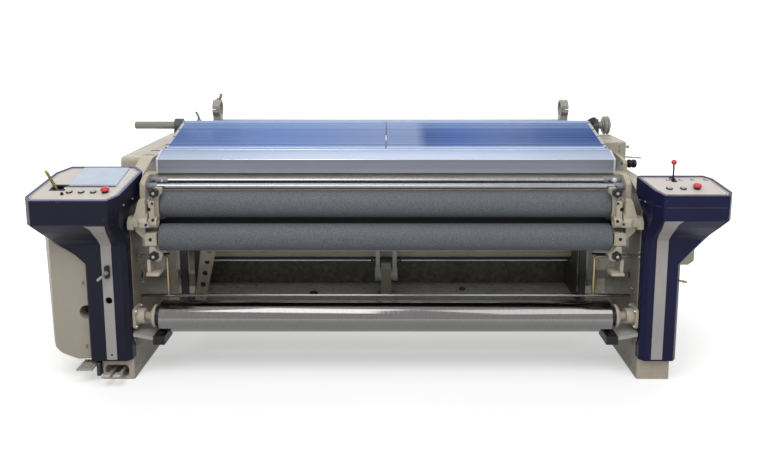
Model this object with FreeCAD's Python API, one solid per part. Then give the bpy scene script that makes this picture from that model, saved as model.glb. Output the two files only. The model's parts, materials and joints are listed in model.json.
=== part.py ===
"""A water-jet power loom, modelled in millimetres. X runs to the right along the rollers, Y to the
rear and Z up. The origin lies on the floor, in the middle of the loom's outer box. The weaver
stands in front, at -Y."""
import FreeCAD
import Part
import math
import os

V = FreeCAD.Vector
os.makedirs("parts", exist_ok=True)

# ---- driving dimensions -------------------------------------------------------------------------
HALF_WIDTH = 1613.0            # from the middle to the outer side of each console
HALF_DEPTH = 1000.0            # from the middle to the front of the stripes and the rear of the beam
WEAVE_X = 31.5                 # middle of the rollers
FRAME_GAP = 2455.0             # between the side frames' inner walls
RUN_CLEARANCE = 0.05           # radial, of a shaft in its bore
LOOSE_CLEARANCE = 0.3          # between pieces that move past each other

# side frames
WALL_THICKNESS = 22.0          # web of the cast frame
RIM_WIDTH = 70.0               # flange of the cast frame
FOOT_WIDTH = 160.0
FOOT_HEIGHT = 105.0
FRAME_FRONT_Y = -843.0
FRAME_REAR_Y = 820.0
FRAME_TOP_Z = 949.0
WINDOW_RADIUS = 30.0
SLOT_LOW_Z = 12.0              # slot in the left foot, for the pedals
SLOT_HIGH_Z = 74.0
SLOT_DEPTH = 165.0
SLOT_LEFT_X = -1338.0
SLOT_RIGHT_X = -1222.0

# rollers and bars
PRESS_LENGTH = 2166.0
UPPER_RADIUS = 66.5
UPPER_Y = -733.0
UPPER_Z = 853.0
LOWER_RADIUS = 65.0
LOWER_Y = -782.0
LOWER_Z = 701.0
TAKE_UP_RADIUS = 80.0
JOURNAL_RADIUS = 17.5
CLOTH_RADIUS = 76.0
CLOTH_LENGTH = 2200.0
CLOTH_Y = -780.0
CLOTH_Z = 300.0
CLOTH_JOURNAL = 20.0
BAR_RADIUS = 13.0
UPPER_BAR_Y = -680.0
UPPER_BAR_Z = 959.0
LOWER_BAR_Y = -732.0
LOWER_BAR_Z = 940.5
THIN_BAR_RADIUS = 7.0
THIN_BAR_Y = -690.0
THIN_BAR_Z = 372.0
BRACKET_THICKNESS = 26.0       # cast plate that holds the rollers
BRACKET_OFFSET = 45.0          # from the frame wall to that plate
BEARING_BOSS = 34.0            # radius of the boss round a journal
KNOB_RADIUS = 23.0
KNOB_UPPER_Z = 925.0
KNOB_LOWER_Z = 627.0
KNOB_UPPER_Y = -826.0
KNOB_LOWER_Y = -868.0
KNOB_STEM = 7.0

# front cover and guard
COVER_LENGTH = 2300.0
COVER_SHEET = 3.0
COVER_FRONT_Y = -575.0
COVER_LOW_Z = 971.0
COVER_EDGE_Z = 1045.0
COVER_REAR_Y = -482.0
COVER_REAR_Z = 1079.0
CAP_THICKNESS = 9.0
BEAD_RADIUS = 5.0
GUARD_SHEET = 4.0
GUARD_SLOPE = 13.6             # degrees above level
GUARD_DEPTH = 428.0            # along its slope
GUARD_SEAM = 3.0               # gap between the two leaves

# consoles
PANEL_TILT = 14.0
PANEL_THICKNESS = 4.0
LEFT_RIM_Z = 925.0
RIGHT_RIM_Z = 948.0
LEFT_HEAD_LOW_Z = 810.0        # lower edge of the head's upright front
RIGHT_HEAD_LOW_Z = 834.0
COLUMN_TOP_Z = 590.0
COLUMN_LOW_Z = FOOT_HEIGHT     # the columns stand on the feet
COLUMN_SETBACK = 128.0         # from the head's front to the column's
COLUMN_DEPTH = 170.0
BUTTON_RADIUS = 11.0
COLLAR_RADIUS = 15.0
COLLAR_HEIGHT = 6.0
BUTTON_TRAVEL = 4.0
BUTTON_STEM = 26.0             # below the panel's face
MUSHROOM_RADIUS = 20.0
MUSHROOM_HEIGHT = 22.0
BUTTON_PROUD = 8.0             # cap above the panel's face
STRIPE_PROUD = 2.0

# rear
RING_Y = 280.0
RING_Z = 1212.0
RING_OUTER = 55.0
RING_BORE = 40.0
RING_WIDTH = 44.0
LEFT_RING_X = -1004.0
RIGHT_RING_X = 1113.0
REST_RADIUS = 50.0
REST_Z = 1095.0
SHAFT_Y = 100.0
SHAFT_Z = 1132.0
SHAFT_RADIUS = 22.0
SHAFT_LEFT_X = -1452.0
WHEEL_X = 1326.0
WHEEL_RADIUS = 54.0
BEAM_Z = 420.0
BEAM_FLANGE_RADIUS = 330.0
BEAM_CORE_RADIUS = 75.0
BEAM_Y = HALF_DEPTH - BEAM_FLANGE_RADIUS

# weaving motion
PIVOT_Y = -335.0
PIVOT_Z = 364.0
SLEY_TOP_Z = 930.0
REED_TOP_Z = 1040.0
REED_DENTS = 100
HEALD_Y = (-190.0, -150.0)
HEALD_THICKNESS = 20.0
HEALD_LOW_Z = 620.0
HEALD_HIGH_Z = 1000.0
HEALD_LIFT = 40.0
HEALD_COUNT = 60
MAIN_SHAFT_Y = 60.0
MAIN_SHAFT_Z = 560.0
MAIN_SHAFT_RADIUS = 25.0

# ---- places that follow from them ---------------------------------------------------------------
LEFT_WALL_X = WEAVE_X - FRAME_GAP / 2
RIGHT_WALL_X = WEAVE_X + FRAME_GAP / 2
HEAD_FRONT_Y = -HALF_DEPTH + STRIPE_PROUD
COLUMN_FRONT_Y = HEAD_FRONT_Y + COLUMN_SETBACK
COLUMN_REAR_Y = COLUMN_FRONT_Y + COLUMN_DEPTH
TILT = math.tan(math.radians(PANEL_TILT))
PANEL_NORMAL = V(0, -math.sin(math.radians(PANEL_TILT)), math.cos(math.radians(PANEL_TILT)))
X_AXIS = V(1, 0, 0)
Y_AXIS = V(0, 1, 0)
Z_AXIS = V(0, 0, 1)


def take_up_centre():
    """The take-up roller lies behind both press rollers, a hair's breadth from each."""
    reach_upper = UPPER_RADIUS + TAKE_UP_RADIUS + LOOSE_CLEARANCE
    reach_lower = LOWER_RADIUS + TAKE_UP_RADIUS + LOOSE_CLEARANCE
    span_y = UPPER_Y - LOWER_Y
    span_z = UPPER_Z - LOWER_Z
    span = math.hypot(span_y, span_z)
    along = (reach_lower ** 2 - reach_upper ** 2 + span ** 2) / (2 * span)
    across = math.sqrt(reach_lower ** 2 - along ** 2)
    y = LOWER_Y + (along * span_y + across * span_z) / span
    z = LOWER_Z + (along * span_z - across * span_y) / span
    return y, z


TAKE_UP_Y, TAKE_UP_Z = take_up_centre()


# ---- shape helpers ------------------------------------------------------------------------------
def box(x0, x1, y0, y1, z0, z1):
    """A block between two corners."""
    return Part.makeBox(x1 - x0, y1 - y0, z1 - z0, V(x0, y0, z0))


def rod_x(x0, x1, y, z, r):
    """A round bar along X."""
    return Part.makeCylinder(r, x1 - x0, V(x0, y, z), X_AXIS)


def rod_y(x, y0, y1, z, r):
    """A round bar along Y."""
    return Part.makeCylinder(r, y1 - y0, V(x, y0, z), Y_AXIS)


def rod_z(x, y, z0, z1, r):
    """A round bar along Z."""
    return Part.makeCylinder(r, z1 - z0, V(x, y, z0), Z_AXIS)


def rod_between(start, end, r):
    """A round bar from one point to another."""
    along = end - start
    return Part.makeCylinder(r, along.Length, start, along)


def rounded_wire(points):
    """A closed wire through (u, v, radius) corners, each corner an arc of its own radius, in Z = 0."""
    edges = []
    count = len(points)
    starts = []
    for i in range(count):
        u, v, r = points[i]
        corner = V(u, v, 0)
        before = V(points[i - 1][0], points[i - 1][1], 0) - corner
        after = V(points[(i + 1) % count][0], points[(i + 1) % count][1], 0) - corner
        if r <= 0:
            starts.append((corner, corner, None))
            continue
        half = before.getAngle(after) / 2
        reach = r / math.tan(half)
        before.normalize()
        after.normalize()
        middle = before + after
        middle.normalize()
        dip = corner + middle * (r / math.sin(half) - r)
        starts.append((corner + before * reach, corner + after * reach, dip))
    for i in range(count):
        arc_in, arc_out, dip = starts[i]
        if dip is not None:
            edges.append(Part.Arc(arc_in, dip, arc_out).toShape())
        following = starts[(i + 1) % count][0]
        if (following - arc_out).Length > 1e-6:
            edges.append(Part.LineSegment(arc_out, following).toShape())
    return Part.Wire(edges)


def along_x(points, x0, x1):
    """A (y, z, radius) outline drawn out along X."""
    face = Part.Face(rounded_wire(points))
    face.transformShape(FreeCAD.Matrix(0, 0, 1, x0, 1, 0, 0, 0, 0, 1, 0, 0, 0, 0, 0, 1))
    return face.extrude(V(x1 - x0, 0, 0))


def along_y(points, y0, y1):
    """An (x, z, radius) outline drawn out along Y."""
    face = Part.Face(rounded_wire([(x, -z, r) for x, z, r in points]))
    face.transformShape(FreeCAD.Matrix(1, 0, 0, 0, 0, 0, 1, y0, 0, -1, 0, 0, 0, 0, 0, 1))
    return face.extrude(V(0, y1 - y0, 0))


def along_z(points, z0, z1):
    """An (x, y, radius) outline drawn out along Z."""
    face = Part.Face(rounded_wire(points))
    face.translate(V(0, 0, z0))
    return face.extrude(V(0, 0, z1 - z0))


def turned(profile, y, z):
    """An (x, r) half section turned about the line along X through (y, z)."""
    corners = [V(x, y, z + r) for x, r in profile]
    wire = Part.makePolygon(corners + [corners[0]])
    return Part.Face(wire).revolve(V(0, y, z), X_AXIS, 360)


def fused(*solids):
    """One clean solid from several that touch or overlap."""
    return solids[0].multiFuse(list(solids[1:])).removeSplitter()


def group(*solids):
    """Separate solids that share one node."""
    return Part.makeCompound([s for shape in solids for s in shape.Solids])


def mirrored(shape):
    """The same shape on the other side of the weaving middle."""
    return shape.mirror(V(WEAVE_X, 0, 0), X_AXIS)


def rounded_box(x0, x1, y0, y1, z0, z1, r):
    """A block with round corners as seen from above."""
    return along_z([(x0, y0, r), (x1, y0, r), (x1, y1, r), (x0, y1, r)], z0, z1)


def panel_z(y, rim_z):
    """Height of a console's tilted top at a depth."""
    return rim_z + (y + HALF_DEPTH) * TILT


def on_panel(x, y, rim_z):
    """A point on a console's tilted top."""
    return V(x, y, panel_z(y, rim_z))


# ---- side frames and beams ----------------------------------------------------------------------
FRAME_NOSE_Y = -800.0          # front edge of the frame above its foot
FRAME_NOSE_Z = 880.0
FRAME_SHOULDER_Y = -610.0      # where the top edge starts to slope down to the nose
GUIDE_DEPTH = 40.0             # of the heald guides, inwards from the wall
HEALD_END_GAP = 12.0           # from the wall to the end of a heald frame
BEAM_JOURNAL = 30.0
ROCKER_RADIUS = 24.0
OVAL_Y = -654.0
OVAL_Z = 466.0


def window(y0, y1, z0, z1):
    """The outline of a rounded window in the frame."""
    return [(y, z, WINDOW_RADIUS) for y, z in ((y0, z0), (y1, z0), (y1, z1), (y0, z1))]


def left_frame():
    """Cast side frame: a web inside a rim, windows, bosses for the shafts, a rail foot and guides."""
    outer_x = LEFT_WALL_X - RIM_WIDTH
    outline = [
        (FRAME_NOSE_Y, FOOT_HEIGHT, 0), (FRAME_REAR_Y, FOOT_HEIGHT, 0), (FRAME_REAR_Y, 560, 60),
        (470, FRAME_TOP_Z, 60), (FRAME_SHOULDER_Y, FRAME_TOP_Z, 40), (FRAME_NOSE_Y, FRAME_NOSE_Z, 30),
    ]
    frame = along_x(outline, outer_x, LEFT_WALL_X)
    cells = [
        (-766, -560, 140, 380), (-766, -560, 540, 840), (-520, -390, 140, 880), (-280, -60, 140, 420),
        (-280, -60, 460, 900), (160, 400, 140, 400), (160, 400, 440, 900), (-20, 130, 660, 900),
        (-20, 130, 140, 440), (440, 540, 140, 600),
    ]
    for y0, y1, z0, z1 in cells:
        frame = frame.cut(along_x(window(y0, y1, z0, z1), outer_x, LEFT_WALL_X - WALL_THICKNESS))
    for y0, y1, z0, z1 in [
        (-250, -90, 180, 380), (190, 370, 180, 360), (190, 370, 480, 650), (190, 370, 690, 860),
    ]:
        frame = frame.cut(along_x(window(y0, y1, z0, z1), outer_x, LEFT_WALL_X))
    foot_x = LEFT_WALL_X - FOOT_WIDTH
    foot = rounded_box(foot_x, LEFT_WALL_X, FRAME_FRONT_Y, FRAME_REAR_Y, 0, FOOT_HEIGHT, 12)
    guide = box(LEFT_WALL_X - 1, LEFT_WALL_X + GUIDE_DEPTH, HEALD_Y[0] - 24, HEALD_Y[1] + 24, 560, 940)
    frame = fused(frame, foot, guide)
    for y in HEALD_Y:
        half = HEALD_THICKNESS / 2 + LOOSE_CLEARANCE
        groove_x = LEFT_WALL_X + HEALD_END_GAP - LOOSE_CLEARANCE
        frame = frame.cut(box(groove_x, LEFT_WALL_X + GUIDE_DEPTH, y - half, y + half, 560, 940))
    for y, z, r in [
        (MAIN_SHAFT_Y, MAIN_SHAFT_Z, MAIN_SHAFT_RADIUS), (PIVOT_Y, PIVOT_Z, ROCKER_RADIUS),
        (BEAM_Y, BEAM_Z, BEAM_JOURNAL),
    ]:
        frame = frame.fuse(rod_x(outer_x, LEFT_WALL_X, y, z, r + 24))
        frame = frame.cut(rod_x(outer_x - 1, LEFT_WALL_X + 1, y, z, r + RUN_CLEARANCE))
    frame = frame.cut(rod_x(outer_x - 1, LEFT_WALL_X + 1, OVAL_Y, OVAL_Z, 22))
    return frame.cut(pedal_slot()).removeSplitter()


def pedal_slot():
    """The rounded pocket in the left foot that the two bent pedals come out of."""
    corners = [
        (SLOT_LEFT_X, SLOT_LOW_Z, 20), (SLOT_RIGHT_X, SLOT_LOW_Z, 20), (SLOT_RIGHT_X, SLOT_HIGH_Z, 20),
        (SLOT_LEFT_X, SLOT_HIGH_Z, 20),
    ]
    return along_y(corners, FRAME_FRONT_Y - 1, FRAME_FRONT_Y + SLOT_DEPTH)


BREAST_FRONT_Y = -560.0
BREAST_LOW_Z = 870.0
BREAST_HIGH_Z = COVER_LOW_Z
LOWER_BEAM_Y = -250.0
LOWER_BEAM_Z = 456.0
FLOOR_BEAM_TOP_Z = 240.0
REAR_BEAM_TOP_Z = 1010.0
TRAY_HALF = 1031.5             # from the weaving middle to the outer side of the tray
UPRIGHT_WIDTH = 36.0
UPRIGHT_Y = -420.0
STAY_HOLE_RADIUS = 14.0


def cross_beams():
    """Five rectangular tubes, two uprights beside the tray and a slotted and a perforated stay."""
    wall_to_wall = (LEFT_WALL_X, RIGHT_WALL_X)
    tray_inside = (WEAVE_X - TRAY_HALF + TRAY_SHEET, WEAVE_X + TRAY_HALF - TRAY_SHEET)
    beams = []
    for (x0, x1), y0, y1, z0, z1 in [
        (wall_to_wall, BREAST_FRONT_Y, BREAST_FRONT_Y + 70, BREAST_LOW_Z, BREAST_HIGH_Z),
        (tray_inside, LOWER_BEAM_Y - 22, LOWER_BEAM_Y + 22, LOWER_BEAM_Z - 17, LOWER_BEAM_Z + 17),
        (wall_to_wall, PIVOT_Y - 45, PIVOT_Y + 45, FLOOR_BEAM_TOP_Z - 90, FLOOR_BEAM_TOP_Z),
        (wall_to_wall, RING_Y - 45, RING_Y + 45, REAR_BEAM_TOP_Z - 90, REAR_BEAM_TOP_Z),
        (wall_to_wall, 120, 190, 130, 210),
    ]:
        corners = [(y0, z0, 8), (y1, z0, 8), (y1, z1, 8), (y0, z1, 8)]
        beams.append(along_x(corners, x0, x1))
    return group(*beams, *uprights())


LEFT_UPRIGHT_X = WEAVE_X - TRAY_HALF - 66
RIGHT_UPRIGHT_X = WEAVE_X + TRAY_HALF + 1


def slotted_stay():
    """A flat upright beside the left upright, with two slots, on a foot against the floor beam."""
    x0, x1 = LEFT_UPRIGHT_X - 64, LEFT_UPRIGHT_X - 8
    y0, y1 = UPRIGHT_Y - 42, UPRIGHT_Y - 34
    low = FLOOR_BEAM_TOP_Z - 34
    plate = box(x0, x1, y0, y1, low, 600).fuse(box(x0, x1, y0, PIVOT_Y - 45, low, low + 10))
    for z in (330, 430):
        corners = [(x1 - 15, z, 4), (x1 - 6, z, 4), (x1 - 6, z + 40, 4), (x1 - 15, z + 40, 4)]
        plate = plate.cut(along_y(corners, y0 - 1, y1 + 1))
    return plate


def perforated_stay():
    """A leaning flat bar with a row of round holes, standing in the tray."""
    x0 = WEAVE_X - TRAY_HALF + TRAY_SHEET + 1
    low, high = FLOOR_BEAM_TOP_Z + TRAY_SHEET, 560
    y0, y1 = UPRIGHT_Y - 32, UPRIGHT_Y - 24
    bar = along_y([(x0, low, 0), (x0 + 58, low, 0), (x0 + 128, high, 10), (x0 + 46, high, 10)], y0, y1)
    for i in range(5):
        bar = bar.cut(rod_y(x0 + 35 + 13 * i, y0 - 1, y1 + 1, low + 38 + 62 * i, STAY_HOLE_RADIUS))
    return bar


def uprights():
    """A stay between the floor beam and the breast beam at each end of the tray, two more at the left."""
    z0, z1 = FLOOR_BEAM_TOP_Z, BREAST_LOW_Z
    foot_y = PIVOT_Y - 45
    posts = [slotted_stay(), perforated_stay()]
    for x in (LEFT_UPRIGHT_X, RIGHT_UPRIGHT_X):
        outline = [
            (UPRIGHT_Y - 20, z0, 4), (foot_y + 20, z0, 4), (foot_y + 20, z0 + 14, 4),
            (UPRIGHT_Y + 4, z0 + 14, 8), (UPRIGHT_Y + 4, z1 - 90, 60), (BREAST_FRONT_Y + 60, z1, 0),
            (BREAST_FRONT_Y + 10, z1, 0),
            (UPRIGHT_Y - 20, z1 - 110, 60),
        ]
        posts.append(along_x(outline, x, x + UPRIGHT_WIDTH))
    return posts


POST_HALF = 27.0
TRAY_SHEET = 4.0
TRAY_FRONT_Y = -640.0
TRAY_REAR_Y = -130.0
TRAY_WALL_FRONT_Y = -412.0     # front edge of the tall end walls
TRAY_LIP_HEIGHT = 45.0
TRAY_WALL_HEIGHT = 288.0


def centre_post():
    """The stand in the middle that carries the sley's middle pivot."""
    base_z = FLOOR_BEAM_TOP_Z + TRAY_SHEET
    corners = [
        (PIVOT_Y - 40, base_z, 0), (PIVOT_Y + 40, base_z, 0), (PIVOT_Y + 34, PIVOT_Z + 60, 20),
        (PIVOT_Y - 34, PIVOT_Z + 60, 20),
    ]
    post = along_x(corners, WEAVE_X - POST_HALF, WEAVE_X + POST_HALF)
    half = POST_HALF + 25
    base = rounded_box(WEAVE_X - half, WEAVE_X + half, PIVOT_Y - 44, PIVOT_Y + 44, base_z, base_z + 12, 8)
    bore = rod_x(WEAVE_X - 60, WEAVE_X + 60, PIVOT_Y, PIVOT_Z, ROCKER_RADIUS + RUN_CLEARANCE)
    return fused(post, base).cut(bore)


def drain_tray():
    """An open box of sheet on the floor beam: a low lip in front, tall walls behind and at its ends."""
    z0 = FLOOR_BEAM_TOP_Z
    x0, x1 = WEAVE_X - TRAY_HALF, WEAVE_X + TRAY_HALF
    outline = [
        (TRAY_FRONT_Y, z0, 0), (TRAY_REAR_Y, z0, 0), (TRAY_REAR_Y, z0 + TRAY_WALL_HEIGHT, 0),
        (TRAY_WALL_FRONT_Y, z0 + TRAY_WALL_HEIGHT, 20), (TRAY_WALL_FRONT_Y, z0 + TRAY_LIP_HEIGHT, 20),
        (TRAY_FRONT_Y, z0 + TRAY_LIP_HEIGHT, 6),
    ]
    inner = box(
        x0 + TRAY_SHEET, x1 - TRAY_SHEET, TRAY_FRONT_Y + TRAY_SHEET, TRAY_REAR_Y - TRAY_SHEET,
        z0 + TRAY_SHEET, z0 + TRAY_WALL_HEIGHT + 1)
    return along_x(outline, x0, x1).cut(inner)


# ---- consoles -----------------------------------------------------------------------------------
RIM_PROUD = 3.0                # the navy rim stands above the pale panel
RIM_INSET = 13.0
TUCK_HEIGHT = 90.0             # over which the head's inner side draws in above its lower edge


def left_place(share):
    """A place across the left console, from the frame's wall at 0 to the outer side at 1."""
    return LEFT_WALL_X - share * (HALF_WIDTH + LEFT_WALL_X)


def right_place(share):
    """A place across the right console, from the frame's wall at 0 to the outer side at 1."""
    return RIGHT_WALL_X + share * (HALF_WIDTH - RIGHT_WALL_X)


def console_outline(place, corners):
    """A console's outline from (share across, distance behind the head's front, radius) corners."""
    return [(place(share), HEAD_FRONT_Y + back, r) for share, back, r in corners]


LEFT_HEAD = console_outline(left_place, [
    (0.914, 0, 12), (0.072, 0, 12), (-0.022, 56, 12), (-0.086, 313, 12), (0.034, 366, 12), (0.796, 366, 12),
    (0.918, 298, 12), (1.0, 41, 12),
])
LEFT_COLUMN = console_outline(left_place, [
    (0.465, 128, 6), (0.062, 128, 6), (0.005, 152, 6), (0.002, 278, 6), (0.05, 298, 6), (0.465, 298, 6),
    (0.496, 285, 6), (0.496, 152, 6),
])
RIGHT_HEAD = console_outline(right_place, [
    (0.099, 0, 12), (0.929, 0, 12), (1.0, 37, 12), (0.907, 181, 12), (0.814, 213, 12), (-0.054, 213, 12),
    (-0.093, 198, 6), (0.0085, 57, 12),
])
RIGHT_COLUMN = console_outline(right_place, [
    (0.071, 128, 6), (0.46, 128, 6), (0.514, 152, 6), (0.514, 285, 6), (0.477, 298, 6), (0.048, 298, 6),
    (0.0085, 285, 6), (0.0085, 152, 6),
])
LEFT_INNER = (2, 3, 4)         # corners beside the frame's wall
RIGHT_INNER = (5, 6, 7)
FRONT_CORNERS = (0, 1, 2, 7)   # corners on the front face and just behind it
LEVER_X = left_place(0.719)
LEVER_Y = HEAD_FRONT_Y + 138
LEVER_PIVOT_DROP = 30.0        # below the panel's face
BALL_LEVER_X = right_place(0.37)
BALL_LEVER_Y = HEAD_FRONT_Y + 172
BALL_PIVOT_DROP = 20.0
LEFT_BUTTON_Y = HEAD_FRONT_Y + 93
LEFT_BUTTON_X = [left_place(share) for share in (0.561, 0.429, 0.295, 0.163)]
RIGHT_BUTTON_Y = HEAD_FRONT_Y + 80
RIGHT_BUTTON_X = [right_place(share) for share in (0.229, 0.41, 0.588)]


def taper_steps(low_z):
    """Shares of the way from head to column for the inner side, the front and the rest, by height."""
    return [
        (0.0, 0.0, 0.0, low_z + TUCK_HEIGHT), (1.0, 0.0, 0.0, low_z), (1.0, 0.3, 0.12, low_z - 40),
        (1.0, 0.78, 0.25, low_z - 92), (1.0, 1.0, 0.34, low_z - 124), (1.0, 1.0, 0.75, COLUMN_TOP_Z + 46),
        (1.0, 1.0, 1.0, COLUMN_TOP_Z),
    ]


def between(head, column, inner_corners, step):
    """A console's outline at one step of its taper."""
    inner, front, rest, z = step
    outline = []
    for i, ((hx, hy, hr), (cx, cy, cr)) in enumerate(zip(head, column)):
        across = inner if i in inner_corners else rest
        back = front if i in FRONT_CORNERS else rest
        outline.append((hx + (cx - hx) * across, hy + (cy - hy) * back, hr + (cr - hr) * rest))
    return outline


def tilted_slab(rim_z, low, high):
    """Everything between two heights above a console's tilted face."""
    y0, y1 = HEAD_FRONT_Y - 60, HEAD_FRONT_Y + 440
    corners = [
        (y0, panel_z(y0, rim_z) + low, 0), (y1, panel_z(y1, rim_z) + low, 0),
        (y1, panel_z(y1, rim_z) + high, 0), (y0, panel_z(y0, rim_z) + high, 0),
    ]
    return along_x(corners, -HALF_WIDTH - 20, HALF_WIDTH + 20)


def inset(head, by):
    """The head's outline drawn in by a rim's width."""
    wire = rounded_wire(head)
    return wire.makeOffset2D(-by)


def panel_block(head, rim_z, low, high, by):
    """The part of a tilted slab inside a console's rim."""
    wire = inset(head, by)
    column = Part.Face(wire).extrude(V(0, 0, 700))
    column.translate(V(0, 0, 700))
    return column.common(tilted_slab(rim_z, low, high))


def button_bore(x, y, rim_z, radius, depth):
    """A round hole square to a console's face."""
    face = on_panel(x, y, rim_z)
    return Part.makeCylinder(radius, depth + 30, face + PANEL_NORMAL * 30, PANEL_NORMAL * -1)


def console_shell(head, column, inner_corners, low_z, rim_z):
    """Head, taper and column of one moulded console."""
    steps = taper_steps(low_z)
    pieces = [along_z(head, steps[0][-1], 1150).cut(tilted_slab(rim_z, RIM_PROUD, 400))]
    for step, next_step in zip(steps, steps[1:]):
        upper = rounded_wire(between(head, column, inner_corners, step))
        upper.translate(V(0, 0, step[-1]))
        lower = rounded_wire(between(head, column, inner_corners, next_step))
        lower.translate(V(0, 0, next_step[-1]))
        pieces.append(Part.makeLoft([upper, lower], True, True))
    pieces.append(along_z(column, COLUMN_LOW_Z, COLUMN_TOP_Z))
    shell = fused(*pieces)
    return shell.cut(panel_block(head, rim_z, -PANEL_THICKNESS, RIM_PROUD + 1, RIM_INSET))


def left_shell():
    """The left console before its openings are cut."""
    return console_shell(LEFT_HEAD, LEFT_COLUMN, LEFT_INNER, LEFT_HEAD_LOW_Z, LEFT_RIM_Z)


def right_shell():
    """The right console before its openings are cut."""
    return console_shell(RIGHT_HEAD, RIGHT_COLUMN, RIGHT_INNER, RIGHT_HEAD_LOW_Z, RIGHT_RIM_Z)


def stripe(outline, low_z):
    """A pale strip let into a console's front, following its taper."""
    front = [(COLUMN_FRONT_Y, COLUMN_LOW_Z + 8)]
    for _, share, _, z in reversed(taper_steps(low_z)[1:5]):
        front.append((HEAD_FRONT_Y + (COLUMN_FRONT_Y - HEAD_FRONT_Y) * share, z))
    proud = [(y - STRIPE_PROUD, z, 0) for y, z in front]
    let_in = [(y + 6, z, 0) for y, z in reversed(front)]
    band = along_x(proud + let_in, -HALF_WIDTH, HALF_WIDTH)
    return band.common(along_y(outline, HEAD_FRONT_Y - 20, COLUMN_FRONT_Y + 20))


def left_stripe():
    """The left strip: upright, with a tip that flares outwards under the head."""
    low, high = COLUMN_LOW_Z + 8, LEFT_HEAD_LOW_Z
    x0, x1 = left_place(0.286), left_place(0.168)
    return stripe([
        (x0, low, 4), (x1, low, 4), (x1, high - 120, 260), (left_place(0.11), high, 0),
        (left_place(0.34), high, 0), (x0, high - 13, 34),
    ], low_z=high)


def right_stripe():
    """The right strip: upright, with a tip that flares outwards under the head."""
    low, high = COLUMN_LOW_Z + 8, RIGHT_HEAD_LOW_Z
    x0, x1 = right_place(0.158), right_place(0.311)
    return stripe([
        (x0, low, 4), (x1, low, 4), (x1, high - 13, 34), (right_place(0.358), high, 0),
        (right_place(0.11), high, 0), (x0, high - 120, 260),
    ], low_z=high)


def column_hole(x, z, radius, depth):
    """A round hole in the front of a column."""
    return rod_y(x, COLUMN_FRONT_Y - 20, COLUMN_FRONT_Y + depth, z, radius)


def trim_stripes():
    """One strip for each console; the left one has the isolator's hole and a round one."""
    cuts = [
        column_hole(ISOLATOR_X, ISOLATOR_Z, 6 + RUN_CLEARANCE, 20),
        column_hole(HOLE_X, HOLE_Z, HOLE_RADIUS, 30),
        frame_side(LEFT_WALL_X, 1),
    ]
    return group(
        left_stripe().cut(Part.makeCompound(cuts)), right_stripe().cut(frame_side(RIGHT_WALL_X, -1)))


FRAME_ROOM_GAP = 0.5
ROOM_REAR_Y = -500.0


def frame_side(wall_x, inwards):
    """The space that a frame takes up beside its console."""
    outline = [
        (FRAME_NOSE_Y - 1, 0, 0), (ROOM_REAR_Y, 0, 0), (ROOM_REAR_Y, FRAME_TOP_Z + 1, 0),
        (FRAME_SHOULDER_Y - 2, FRAME_TOP_Z + 1, 0), (FRAME_NOSE_Y - 1, FRAME_NOSE_Z + 2, 0),
    ]
    inner_x = wall_x + inwards * FRAME_ROOM_GAP
    outer_x = wall_x - inwards * (RIM_WIDTH + FRAME_ROOM_GAP)
    return along_x(outline, min(inner_x, outer_x), max(inner_x, outer_x))


def frame_room(wall_x, inwards, low_z):
    """The same space, with the narrow foot of the head inside the wall."""
    far_x = wall_x + inwards * 100
    low_side = box(
        min(wall_x, far_x), max(wall_x, far_x), FRAME_NOSE_Y - 1, ROOM_REAR_Y, 0, low_z + TUCK_HEIGHT / 2)
    return frame_side(wall_x, inwards).fuse(low_side)


def lever_room(x, y, half_width, front, rear, z0, z1):
    """The opening under a lever's gate."""
    return box(x - half_width, x + half_width, y - front, y + rear, z0, z1)


def left_console():
    """The navy console by the pedals."""
    shell = left_shell().cut(frame_room(LEFT_WALL_X, 1, LEFT_HEAD_LOW_Z))
    for x in LEFT_BUTTON_X:
        shell = shell.cut(
            button_bore(x, LEFT_BUTTON_Y, LEFT_RIM_Z, BUTTON_RADIUS + LOOSE_CLEARANCE, BUTTON_STEM + 8))
    pivot_z = panel_z(LEVER_Y, LEFT_RIM_Z) - LEVER_PIVOT_DROP
    shell = shell.cut(lever_room(LEVER_X, LEVER_Y, 31, 25, 25, pivot_z - 30, pivot_z + 80))
    shell = shell.cut(rod_x(LEVER_X - 42, LEVER_X + 42, LEVER_Y, pivot_z, 5 + RUN_CLEARANCE))
    isolator = column_hole(ISOLATOR_X, ISOLATOR_Z, 6 + RUN_CLEARANCE, 15)
    hole = column_hole(HOLE_X, HOLE_Z, HOLE_RADIUS, 30)
    return shell.cut(Part.makeCompound([left_stripe(), isolator, hole]))


def right_console():
    """The navy console at the other end."""
    shell = right_shell().cut(frame_room(RIGHT_WALL_X, -1, RIGHT_HEAD_LOW_Z))
    for x in RIGHT_BUTTON_X:
        shell = shell.cut(
            button_bore(x, RIGHT_BUTTON_Y, RIGHT_RIM_Z, BUTTON_RADIUS + LOOSE_CLEARANCE, BUTTON_STEM + 8))
    pivot_z = panel_z(BALL_LEVER_Y, RIGHT_RIM_Z) - BALL_PIVOT_DROP
    shell = shell.cut(lever_room(BALL_LEVER_X, BALL_LEVER_Y, 8, 20, 18, pivot_z - 18, pivot_z + 60))
    shell = shell.cut(rod_x(BALL_LEVER_X - 18, BALL_LEVER_X + 18, BALL_LEVER_Y, pivot_z, 4 + RUN_CLEARANCE))
    return shell.cut(right_stripe())


ISOLATOR_X = left_place(0.22)
ISOLATOR_Z = 556.0
HOLE_X = left_place(0.226)
HOLE_Z = 412.0
HOLE_RADIUS = 17.0


def left_panel():
    """The pale plate on the left console, with its holes."""
    plate = panel_block(LEFT_HEAD, LEFT_RIM_Z, -PANEL_THICKNESS, 0, RIM_INSET)
    for x in LEFT_BUTTON_X:
        plate = plate.cut(button_bore(x, LEFT_BUTTON_Y, LEFT_RIM_Z, BUTTON_RADIUS + LOOSE_CLEARANCE, 20))
    return plate.cut(lever_room(LEVER_X, LEVER_Y, 31, 25, 25, 900, 1050))


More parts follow.
